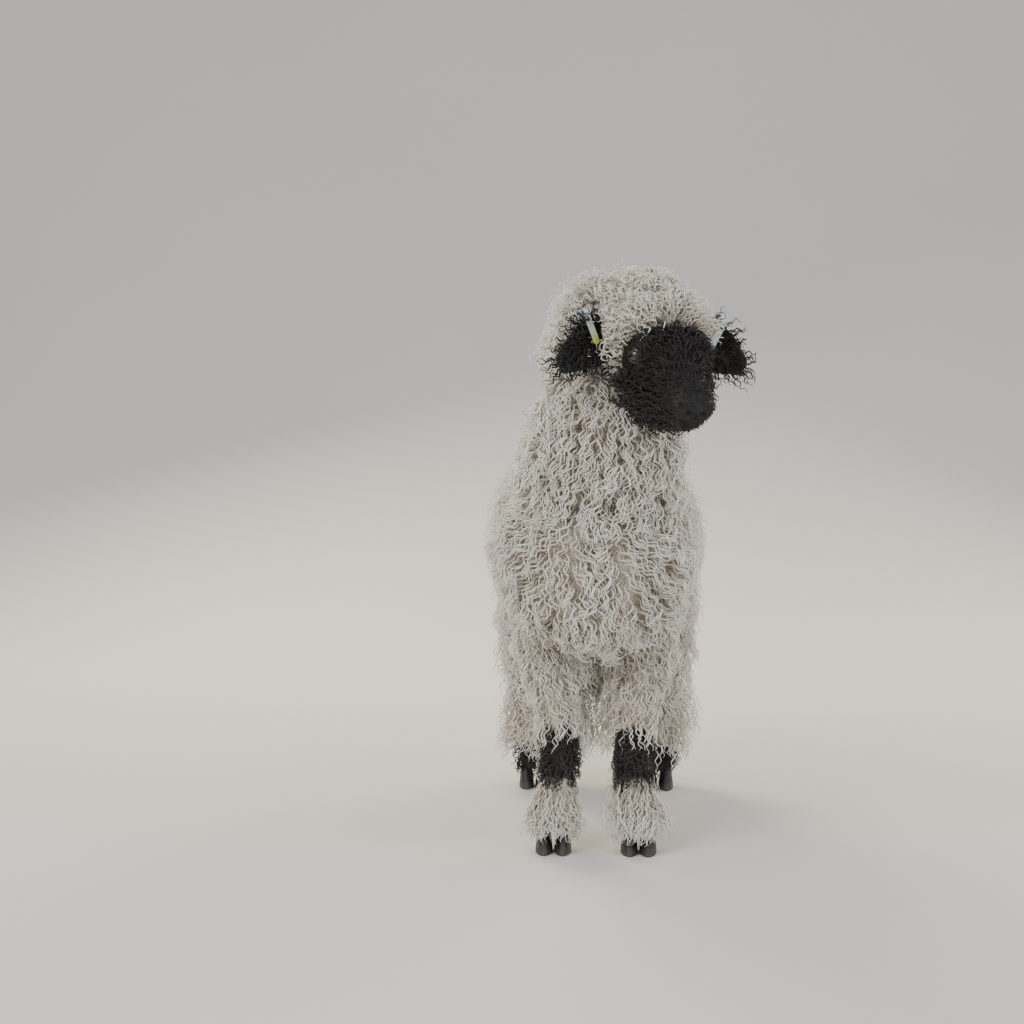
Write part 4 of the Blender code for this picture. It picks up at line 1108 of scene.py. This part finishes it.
def fleece_look(pick, reach=0.90, least=0.038):
    depth = np.maximum(coats[pick], least) * (1.0 - SKIN_SHARE) * reach
    height = roots[pick][:, 2]
    aside = smooth_step(-0.25, -0.65, normals[pick][:, 0]) * smooth_step(0.640, 0.680, height)
    top = smooth_step(TOP_FROM, TOP_TO, height) * (1.0 - aside)
    depth = depth * (1.0 - 0.55 * top) * (1.0 + 0.40 * aside)
    stray = rng.random(len(depth)) < STRAY_SHARE
    return {
        "length": depth / STAND * np.where(stray, 1.06, 1.0),
        "width": 0.0031 * np.where(stray, 0.6, 1.0),
        "lean_root": 0.20,
        "lean_tip": np.where(stray, 1.45, 1.98),
        "wave": 0.0026 * np.where(stray, 1.3, 1.0),
        "wavelength": 0.0215,
        "curl": 0.9,
        "gather": 0.72,
        "crowd": 0.8,
    }


print("strand on the trunk in mm", round(COAT * (1 - SKIN_SHARE) / STAND * 1000))

# %% Fleece of trunk and neck
def pieces_of(label, pick, look, steps, value, most=2300, material=wool):
    """Grow one part of the coat, in as many pieces as keep each under the limit."""
    index = np.flatnonzero(pick)
    index = index[np.argsort(value[index])]
    parts = max(1, math.ceil(len(index) / most))
    grown = []
    for number, chosen in enumerate(np.array_split(index, parts)):
        name = label if parts == 1 else f"{label}_{number + 1}"
        grown.append(grow_strands(name, chosen, look(chosen), steps))
    for thing in grown:
        thing.data.materials.append(material)
    return grown


coat = []
coat += pieces_of("fleece_trunk", names == "trunk", fleece_look, 14, roots[:, 1])
coat += pieces_of("fleece_neck", names == "neck", fleece_look, 14, roots[:, 2])
print("pieces so far", len(coat))

# %% Crown, tail and legs
def near_ear(places):
    """One beside an ear's leaf, falling to nought 5 cm from its middle line."""
    near = np.full(len(places), 9.0)
    for side in SIDES:
        for share in (0.1, 0.3, 0.5, 0.7, 0.9):
            gap = np.linalg.norm(places - np.array(ear_middle(side, share)), axis=1)
            near = np.minimum(near, gap)
    return smooth_step(0.050, 0.026, near)


def crown_look(pick):
    look = fleece_look(pick)
    brow = smooth_step(0.0, 0.03, head_local(roots[pick])[:, 0])
    look["length"] = look["length"] * 0.98 * (1.0 - 0.60 * near_ear(roots[pick]))
    look["width"] = look["width"] * 0.9
    look["wave"] = 0.0032
    look["wavelength"] = 0.0150
    look["lean_tip"] = look["lean_tip"] - 0.25 * (1.0 - brow)
    look["curl"] = 1.0
    look["gather"] = 0.5
    return look


coat += pieces_of("fleece_crown", names == "crown", crown_look, 18, roots[:, 2], 1800)
coat += pieces_of("fleece_tail", names == "tail", fleece_look, 11, roots[:, 2])


def leg_look(pick):
    look = fleece_look(pick, 1.08, 0.016)
    thin = smooth_step(0.034, 0.018, coats[pick])
    look["length"] = np.maximum(look["length"], 0.036)
    look["lean_root"] = look["lean_root"] + 0.65 * thin
    look["lean_tip"] = look["lean_tip"] - 0.15 * thin
    look["width"] = look["width"] * 0.85
    look["wave"] = np.minimum(look["wave"] * 0.8, look["length"] * 0.06)
    look["wavelength"] = np.clip(look["length"] * 0.45, 0.0090, 0.0170)
    dark = black[pick] > 0.5
    look["length"] = np.where(dark, np.clip(look["length"], 0.016, 0.024), look["length"])
    thigh = inner_thigh(roots[pick], normals[pick])
    look["length"] = np.where(thigh, look["length"] * 1.30, look["length"])
    look["lean_tip"] = np.where(thigh, look["lean_tip"] - 0.25, look["lean_tip"])
    look["wave"] = np.where(dark, 0.0016, look["wave"])
    look["wavelength"] = np.where(dark, 0.0085, look["wavelength"])
    return look


LEG_WOOL_LOW = {"front": 0.096, "hind": 0.036}
for end, low in LEG_WOOL_LOW.items():
    for side in SIDES:
        here = (names == f"{end}_{side}") & (roots[:, 2] > low)
        coat += pieces_of(f"wool_{end}_{side}", here, leg_look, 12, roots[:, 2])
print("pieces so far", len(coat))

# %% [markdown]
# ## Face and ears
# The face's wool is black, short and tightly curled, longest on cheeks and brow and down to a few
# millimetres of flat hair on nose and lips. It is kept short round the eyes. The ears carry curls
# that hang past their edges.

# %% Face and ear wool
# distance forward on the head, and the depth of the wool there
FACE_DEPTH = (
    (-0.05, 0.04, 0.075, 0.12, 0.150, 0.166),
    (0.015, 0.014, 0.0115, 0.0085, 0.0050, 0.0026),
)
WHITE_DEPTH, NOSTRIL_BARE = 0.022, 0.0045


def face_look(pick):
    local = head_local(roots[pick])
    forward = local[:, 0]
    mirrored = np.abs(local - np.array((EYE_FORWARD, 0.0, EYE_UP))) - np.array((0.0, EYE_ASIDE, 0.0))
    from_eye = np.linalg.norm(mirrored, axis=1)
    depth = np.interp(forward, *FACE_DEPTH)
    depth = depth * smooth_step(0.006, 0.030, from_eye).clip(0.12, 1.0)
    under = smooth_step(-0.3, -0.8, normals[pick] @ np.array(UP)) * smooth_step(0.145, 0.110, forward)
    depth = depth + (THROAT_COAT - 0.010) * under
    white = black[pick] < 0.5
    depth = np.where(white, WHITE_DEPTH, depth)
    behind = blackness(roots[pick] - np.array(FORWARD) * 0.016, np.ones(len(pick), bool))
    shorter = np.where(white, 0.35 * near_ear(roots[pick]), 0.45 * (1.0 - behind))
    return {
        "length": depth / 0.5 * (1.0 - shorter),
        "width": 0.0013 + np.minimum(depth, 0.014) * 0.09,
        "lean_root": np.interp(forward, (0.04, 0.13), (0.35, 0.85)),
        "lean_tip": 1.85,
        "wave": np.minimum(depth * 0.15, 0.0020),
        "wavelength": np.clip(depth * 1.0, 0.0055, 0.0120),
        "curl": 1.0,
        "sink": 0.0006,
    }


def ear_look(pick):
    edge = np.zeros(len(pick))
    for side in SIDES:
        share, across, off = ear_local(roots[pick], side)
        near = (share > 0) & (share < 1.2) & (abs(across) < 0.04) & (abs(off) < 0.03)
        rim = np.maximum(smooth_step(0.018, 0.030, abs(across)), smooth_step(0.75, 0.98, share))
        edge = np.where(near, rim, edge)
    return {
        "length": 0.014 + 0.015 * edge,
        "width": 0.0021,
        "lean_root": 0.5 - 0.3 * edge,
        "lean_tip": 1.75 - 0.3 * edge,
        "wave": 0.0013 + 0.0009 * edge,
        "wavelength": 0.0085 + 0.0045 * edge,
        "curl": 1.0,
        "sink": 0.0006,
    }


bare = np.zeros(len(roots), bool)
local = head_local(roots)
for side in SIDES.values():
    eye, nostril = (EYE_FORWARD, EYE_ASIDE * side, EYE_UP), (0.1620, 0.0100 * side, -0.0010)
    bare |= np.linalg.norm(local - np.array(eye), axis=1) < EYE_RADIUS + 0.0025
    bare |= np.linalg.norm(local - np.array(nostril), axis=1) < NOSTRIL_BARE
on_face = np.isin(names, FACE_PARTS) & ~bare
coat += pieces_of("wool_face", on_face, face_look, 10, roots[:, 2], 3300, dark_wool)
coat += pieces_of("wool_ears", names == "ear", ear_look, 10, roots[:, 0], 3300, dark_wool)
print("pieces so far", len(coat))

# %% [markdown]
# ## Bells of long wool
# Long wavy strands hang over each front foot from below the knee and hide the top of the hoof. They
# leave the leg at a slant and fall nearly straight.

# %% Bells
BELL_LOW, BELL_HIGH, BELL_END = 0.036, 0.101, 0.020


def bell_look(pick):
    height = roots[pick][:, 2] - BELL_END
    return {
        "length": np.maximum(height * 1.05, 0.022),
        "width": 0.0026,
        "lean_root": 1.12,
        "lean_tip": 1.88,
        "wave": 0.0022,
        "wavelength": 0.0170,
        "curl": 0.6,
        "gather": 0.8,
        "blackness": 0.0,
        "lowest": 0.016,
    }


for side in SIDES:
    here = (names == f"front_{side}") & (roots[:, 2] > BELL_LOW) & (roots[:, 2] < BELL_HIGH)
    coat += pieces_of(f"bell_front_{side}", here, bell_look, 11, roots[:, 2])
total = sum(len(polygon.vertices) - 2 for thing in coat for polygon in thing.data.polygons)
print("coat triangles", total)

# %% [markdown]
# ## Eyes
# A sheep's eye is a dark amber ball with a level, slot-shaped pupil, under a clear wet surface. The
# ball bulges a little where the cornea is. Each vertex keeps its place in the eye's own directions,
# and the material draws iris and pupil from that.

# %% Eye directions and eyeball
def eye_axes(side):
    """Out of the eye, forward along its opening, and up."""
    out = (LEFT * (0.92 * SIDES[side]) + FORWARD * 0.34 + UP * 0.16).normalized()
    fore = (FORWARD - out * FORWARD.dot(out)).normalized()
    up = (UP - out * UP.dot(out) - fore * UP.dot(fore)).normalized()
    return out, fore, up


def eye_centre(side):
    low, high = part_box(f"eye_{side}")
    return (low + high) / 2


def eye_material():
    made, tree, shader = new_material("eye", 0.06, Coat_Weight=1.0, Coat_Roughness=0.02, IOR=1.38)
    gaze = tree.add("Attribute")
    gaze.attribute_name = "gaze"
    parts = tree.add("SeparateXYZ", Vector=gaze.outputs["Vector"]).outputs
    flat = tree.add("CombineXYZ", X=parts["X"], Y=parts["Y"]).outputs["Vector"]
    oblong = tree.add("VectorMath", Vector=flat)
    oblong.operation = "MULTIPLY"
    oblong.inputs[1].default_value = (2.4, 6.0, 0.0)
    from_middle = tree.add("VectorMath", Vector=flat)
    from_slot = tree.add("VectorMath", Vector=oblong.outputs["Vector"])
    from_middle.operation = from_slot.operation = "LENGTH"
    streaks = tree.add("TexNoise", Vector=gaze.outputs["Vector"], Scale=9.0, Detail=4.0)
    streaky = tree.ramp(streaks.outputs["Fac"], 0.35, 0.65)
    iris = tree.mix(streaky, (0.016, 0.007, 0.003), (0.055, 0.025, 0.009))
    beyond = tree.ramp(from_middle.outputs["Value"], 0.66, 0.74)
    white = tree.mix(beyond, iris, (0.035, 0.022, 0.018))
    pupil = tree.ramp(from_slot.outputs["Value"], 1.06, 0.96)
    tree.set(shader, Base_Color=tree.mix(pupil, white, (0.002, 0.002, 0.003)))
    return made


EYE_SURFACE = eye_material()


def make_eye(side):
    out, fore, up = eye_axes(side)
    centre = eye_centre(side)
    bm = bmesh.new()
    bmesh.ops.create_uvsphere(bm, u_segments=40, v_segments=28, radius=1.0)
    local = [vert.co.copy() for vert in bm.verts]
    for vert, place in zip(bm.verts, local):
        bulge = 1.0 + 0.05 * max(0.0, (place.z - 0.72) / 0.28)
        spot = fore * place.x + up * place.y + out * place.z
        vert.co = centre + spot * (EYE_RADIUS * 0.985 * bulge)
    eye = as_object(f"eyeball_{side}", bm)
    eye.data.shade_smooth()
    layer = eye.data.attributes.new("gaze", "FLOAT_VECTOR", "POINT")
    layer.data.foreach_set("vector", [value for place in local for value in place])
    eye.data.materials.append(EYE_SURFACE)
    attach(eye, BODY)
    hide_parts(f"eye_{side}")
    return eye


eyes = [make_eye(side) for side in SIDES]
print("eyes", [eye.name for eye in eyes])

# %% [markdown]
# ## Eyelids
# A lid is a soft rim of bare black skin that lies on the ball. It starts as one almond-shaped loop
# of edges round the opening, and `extrude_edge_only` carries that loop out and back into the head,
# so upper and lower lid are one closed form with a rounded, wet edge.

# %% Eyelids
LID_HALF_LONG, LID_UPPER, LID_LOWER = math.radians(58), math.radians(27), math.radians(25)


def lid_angle(turn):
    """How far the opening reaches from the eye's middle, in each direction round it."""
    high = LID_UPPER if math.sin(turn) > 0 else LID_LOWER
    point = abs(math.cos(turn)) ** 1.6
    return high + (LID_HALF_LONG - high) * point


# how far the rim has spread from the opening, in radians, and how proud it stands, in millimetres
LID_PROFILE = (
    (0.00, 0.9), (0.00, 0.2), (0.015, 0.75), (0.06, 1.35), (0.14, 1.8), (0.26, 2.1), (0.42, 1.9),
    (0.62, 1.2), (0.80, -0.6),
)


def make_lids(side, sides=48):
    out, fore, up = eye_axes(side)
    centre = eye_centre(side)
    bm = bmesh.new()
    ring, loop = circle_loop(bm, sides)
    turns = [math.atan2(vert.co.y, vert.co.x) for vert in ring]
    for number, (reach, proud) in enumerate(LID_PROFILE):
        if number:
            ring, loop = extrude_loop(bm, loop)
            turns = [math.atan2((v.co - centre).dot(up), (v.co - centre).dot(fore)) for v in ring]
        for vert, turn in zip(ring, turns):
            angle = lid_angle(turn) + reach
            ray = out * math.cos(angle) + (fore * math.cos(turn) + up * math.sin(turn)) * math.sin(angle)
            vert.co = centre + ray * (EYE_RADIUS + proud * 0.001)
    lids = as_object(f"eyelids_{side}", bm)
    lids.data.shade_smooth()
    thick = lids.modifiers.new("thick", "SOLIDIFY")
    thick.thickness = 0.0005
    thick.offset = -1.0
    bake(lids)
    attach(lids, BODY)
    return lids


def lid_material():
    made, tree, shader = new_material("lid_skin", 0.38, Coat_Weight=0.25, Coat_Roughness=0.25)
    folds = tree.texture("TexVoronoi", Scale=1100.0).outputs["Distance"]
    colour = tree.mix(folds, (0.006, 0.005, 0.005), (0.020, 0.016, 0.015))
    tree.set(shader, Base_Color=colour, Normal=tree.bump(folds, 0.4, 0.0003))
    return made


lid_skin = lid_material()
lids = [make_lids(side) for side in SIDES]
for thing in lids:
    thing.data.materials.append(lid_skin)
print("eyelids", [thing.name for thing in lids])

# %% [markdown]
# ## Ear tags
# Each tag is a flexible plastic strap bent over the ear's upper edge, with a stud through the ear.
# The strap is a flat oblong slice extruded along its path. In the photo the front end of the
# near tag is yellow-green. Both are bare.

# %% Ear tags
TAG_WIDTH, TAG_THICK, TAG_DOWN, TAG_STANDOFF, TAG_PLACE = 0.0085, 0.0015, 0.036, 0.0006, 0.36
CAD_EAR_THICK = 0.009
TAG_TOP = ear_half_width(TAG_PLACE) + TAG_STANDOFF + 0.0015
# the stud through the ear and its two heads: off the ear's middle, radius, length
STUD_PARTS = ((0.0, 0.0022, 0.022), (0.0112, 0.0042, 0.0016), (-0.0112, 0.0042, 0.0016))
TAG_EDGE = 0.0004


def tag_frame(side):
    along, across, face = ear_axes(side)
    down = across if across.z < 0 else -across
    return ear_middle(side, TAG_PLACE) - face * (EAR_CUP * 0.45), down, face, along


def tag_path(side, bend_steps=14):
    """Middle line of the strap: up the front of the ear, over its edge, and down the back."""
    place, down, face = tag_frame(side)[:3]
    gap = CAD_EAR_THICK / 2 + EAR_CUP * 0.55 + TAG_STANDOFF
    reach = TAG_DOWN - TAG_TOP
    flat = [(reach, gap), (reach * 0.5, gap), (0.0, gap), (-TAG_TOP * 0.7, gap)]
    for step in range(bend_steps):
        turn = math.pi * (step + 0.5) / bend_steps
        flat.append((-TAG_TOP - gap * 0.95 * math.sin(turn) * 0.6, gap * math.cos(turn)))
    flat += [(-TAG_TOP * 0.7, -gap), (0.0, -gap), (0.008, -gap)]
    return [place + down * low + face * (off + math.copysign(TAG_THICK / 2, off)) for low, off in flat]


def make_tag(side):
    place, down, face, along = tag_frame(side)
    path = tag_path(side)
    bm = bmesh.new()
    ring, loop = circle_loop(bm, 4)
    signs = [(-1, -1), (1, -1), (1, 1), (-1, 1)]
    for number, point in enumerate(path):
        before, after = path[max(number - 1, 0)], path[min(number + 1, len(path) - 1)]
        normal = (after - before).normalized().cross(along).normalized()
        if number:
            fresh, loop = extrude_loop(bm, loop)
            ring = [min(fresh, key=lambda vert, old=old: (vert.co - old.co).length) for old in ring]
        for vert, (wide, thick) in zip(ring, signs):
            vert.co = point + along * (wide * TAG_WIDTH / 2) + normal * (thick * TAG_THICK / 2)
    bmesh.ops.holes_fill(bm, edges=[edge for edge in bm.edges if edge.is_boundary], sides=0)
    bm.normal_update()
    bmesh.ops.recalc_face_normals(bm, faces=bm.faces)
    sharp = [edge for edge in bm.edges if edge.calc_face_angle(0.0) > math.radians(50)]
    bmesh.ops.bevel(
        bm, geom=sharp, offset=TAG_EDGE, segments=3, profile=0.5, affect="EDGES", material=-1)
    turn = Vector((0, 0, 1)).rotation_difference(face).to_matrix().to_4x4()
    for off, radius, length in STUD_PARTS:
        made = bmesh.ops.create_cone(
            bm, cap_ends=True, segments=28, radius1=radius, radius2=radius, depth=length,
            matrix=Matrix.Translation(place + face * off) @ turn,
        )["verts"]
        rim = {edge for vert in made for edge in vert.link_edges if edge.calc_face_angle(0.0) > 1.0}
        bmesh.ops.bevel(
            bm, geom=list(rim), offset=TAG_EDGE, segments=2, profile=0.5, affect="EDGES", material=-1)
    tag = as_object(f"tag_strap_{side}", bm)
    tag.data.shade_smooth()
    tag.data.set_sharp_from_angle(angle=math.radians(45))
    offsets = [vert.co - place for vert in tag.data.vertices]
    ends = np.array([off.dot(down) if off.dot(face) > 0 else -1.0 for off in offsets])
    colours = np.ones((len(ends), 4))
    reach = TAG_DOWN - TAG_TOP
    green = smooth_step(reach - 0.0070, reach - 0.0060, ends)
    colours[:, 0] = green * (1.0 if side == "right" else 0.0)
    paint(tag.data, "tint", colours)
    return tag


def tag_material():
    made, tree, shader = new_material("tag_plastic", 0.4)
    dirt = tree.texture("TexNoise", Scale=160.0, Detail=5.0).outputs["Fac"]
    plastic = tree.mix(tree.channels("tint")["Red"], (0.50, 0.62, 0.66), (0.46, 0.50, 0.06))
    colour = tree.mix(tree.ramp(dirt, 0.52, 0.78), plastic, (0.22, 0.21, 0.18))
    tree.set(shader, Base_Color=colour, Roughness=tree.spread(dirt, 0.32, 0.62))
    return made


TAG_PLASTIC = tag_material()
for side in SIDES:
    tag = make_tag(side)
    tag.data.materials.append(TAG_PLASTIC)
    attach(tag, BODY)
    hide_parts(f"tag_{side}")
    print("tag", tag.name, len(tag.data.polygons))

# %% [markdown]
# ## Hooves
# Each foot has two claws. A claw starts as a circle pressed into the outline of a sole, and is
# extruded up in steps that narrow and lean back, so the front wall slopes. The horn is dark, with
# growth rings that run round it and wear along the sole's edge.

# %% Hooves
def hoof_material():
    made, tree, shader = new_material("hoof_horn", 0.45)
    coords = tree.add("TexCoord").outputs["Object"]
    stretched = tree.add("Mapping", Vector=coords, Scale=(8.0, 8.0, 260.0)).outputs["Vector"]
    rings = tree.add("TexNoise", Vector=stretched, Scale=1.0, Detail=3.0).outputs["Fac"]
    dust = tree.ramp(tree.add("SeparateXYZ", Vector=coords).outputs["Z"], 0.014, 0.0)
    band = tree.ramp(rings, 0.3, 0.7)
    horn = tree.mix(band, (0.008, 0.007, 0.007), (0.024, 0.021, 0.019))
    tree.set(
        shader, Base_Color=tree.mix(dust, horn, (0.060, 0.052, 0.042)),
        Roughness=tree.spread(band, 0.36, 0.66), Normal=tree.bump(rings, 0.5, 0.0006),
    )
    return made


HOOF_HORN = hoof_material()
# height, width and lean back of each ring, as shares of the claw's size
CLAW_RINGS = (
    (0.00, 0.90, 0.0), (0.05, 0.98, 0.0), (0.30, 0.93, 0.05), (0.60, 0.84, 0.12),
    (0.85, 0.74, 0.18), (1.00, 0.64, 0.22),
)


def by_direction(point):
    return math.atan2(point.y, point.x)


def make_claw(node):
    low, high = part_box(node)
    wide, long, tall = high - low
    centre = Vector(((low.x + high.x) / 2, (low.y + high.y) / 2, low.z))
    bm = bmesh.new()
    ring = bmesh.ops.create_circle(bm, cap_ends=True, segments=32, radius=1.0)["verts"]
    outline = []
    for vert in ring:
        x, y = vert.co.x, vert.co.y
        toe = 1.0 - 0.22 * max(-y, 0.0) ** 2
        outline.append(Vector((x * toe * wide / 2, y * long / 2, 0.0)))
        vert.co = outline[-1]
    face = bm.faces[:]
    outline.sort(key=by_direction)
    for number, (height, narrow, back) in enumerate(CLAW_RINGS):
        if number:
            made = bmesh.ops.extrude_face_region(bm, geom=face)["geom"]
            face = [item for item in made if isinstance(item, bmesh.types.BMFace)]
            ring = [item for item in made if isinstance(item, bmesh.types.BMVert)]
        ring = sorted(ring, key=lambda vert: by_direction(vert.co))
        for vert, point in zip(ring, outline):
            lift = height * tall * (0.94 + 0.06 * (1.0 - max(point.y, 0.0) * 2 / long))
            vert.co = Vector((point.x * narrow, point.y * narrow + back * long / 2, min(lift, tall)))
    bmesh.ops.translate(bm, verts=bm.verts, vec=centre)
    hoof = as_object(node.replace("hoof", "claw"), bm)
    hoof.data.shade_smooth()
    hoof.data.set_sharp_from_angle(angle=math.radians(60))
    hoof.data.materials.append(HOOF_HORN)
    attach(hoof, BODY)
    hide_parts(node)
    return hoof


claws = [make_claw(node) for node in sorted(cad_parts) if node.startswith("hoof_")]
print("claws", len(claws))

# %% [markdown]
# ## Floor and light
# A pale floor that curves up into a wall gives no horizon line. One large soft light stands high in
# front, a weaker one fills from the other side, and two warm ones behind light the outline of the
# fleece.

# %% Floor
FLOOR_CORNERS = ((-15, -15, 0), (15, -15, 0), (15, 4, 0), (-15, 4, 0))


def make_floor():
    bm = bmesh.new()
    bm.faces.new([bm.verts.new(point) for point in FLOOR_CORNERS])
    back = next(edge for edge in bm.edges if all(vert.co.y > 3 for vert in edge.verts))
    raised = extrude_loop(bm, [back])[0]
    bmesh.ops.translate(bm, verts=raised, vec=(0, 0.6, 9))
    bmesh.ops.bevel(
        bm, geom=[back], offset=2.5, segments=24, profile=0.5, affect="EDGES", material=-1)
    floor = as_object("studio_floor", bm)
    floor.data.shade_smooth()
    paper, tree, shader = new_material("studio_paper", 0.85)
    cloud = tree.texture("TexNoise", Scale=1.2).outputs["Fac"]
    tree.set(shader, Base_Color=tree.mix(cloud, (0.68, 0.66, 0.63), (0.72, 0.70, 0.67)))
    floor.data.materials.append(paper)
    return floor


studio_floor = make_floor()
print("floor faces", len(studio_floor.data.polygons))

# %% Lights
def area_light(name, place, target, size, power, colour):
    data = bpy.data.lights.new(name, "AREA")
    data.size = size
    data.energy = power
    data.color = colour
    light = bpy.data.objects.new(name, data)
    light.location = place
    light.rotation_euler = (Vector(target) - Vector(place)).to_track_quat("-Z", "Y").to_euler()
    bpy.context.scene.collection.objects.link(light)
    return light


AIM = (0.0, -0.1, 0.4)
lights = [
    area_light("key", (-1.7, -2.3, 2.3), AIM, 1.8, 62.0, (1.0, 0.98, 0.95)),
    area_light("fill", (2.2, -1.6, 1.2), AIM, 2.0, 26.0, (0.93, 0.96, 1.0)),
    area_light("rim", (-1.1, 2.0, 1.9), AIM, 1.2, 60.0, (1.0, 0.86, 0.66)),
    area_light("rim_right", (1.6, 1.8, 1.5), AIM, 1.2, 32.0, (1.0, 0.88, 0.70)),
]
world = bpy.data.worlds.new("studio")
world.use_nodes = True
world.node_tree.nodes["Background"].inputs["Color"].default_value = (0.90, 0.92, 0.95, 1.0)
world.node_tree.nodes["Background"].inputs["Strength"].default_value = 0.75
bpy.context.scene.world = world
print("lights", [light.name for light in lights])
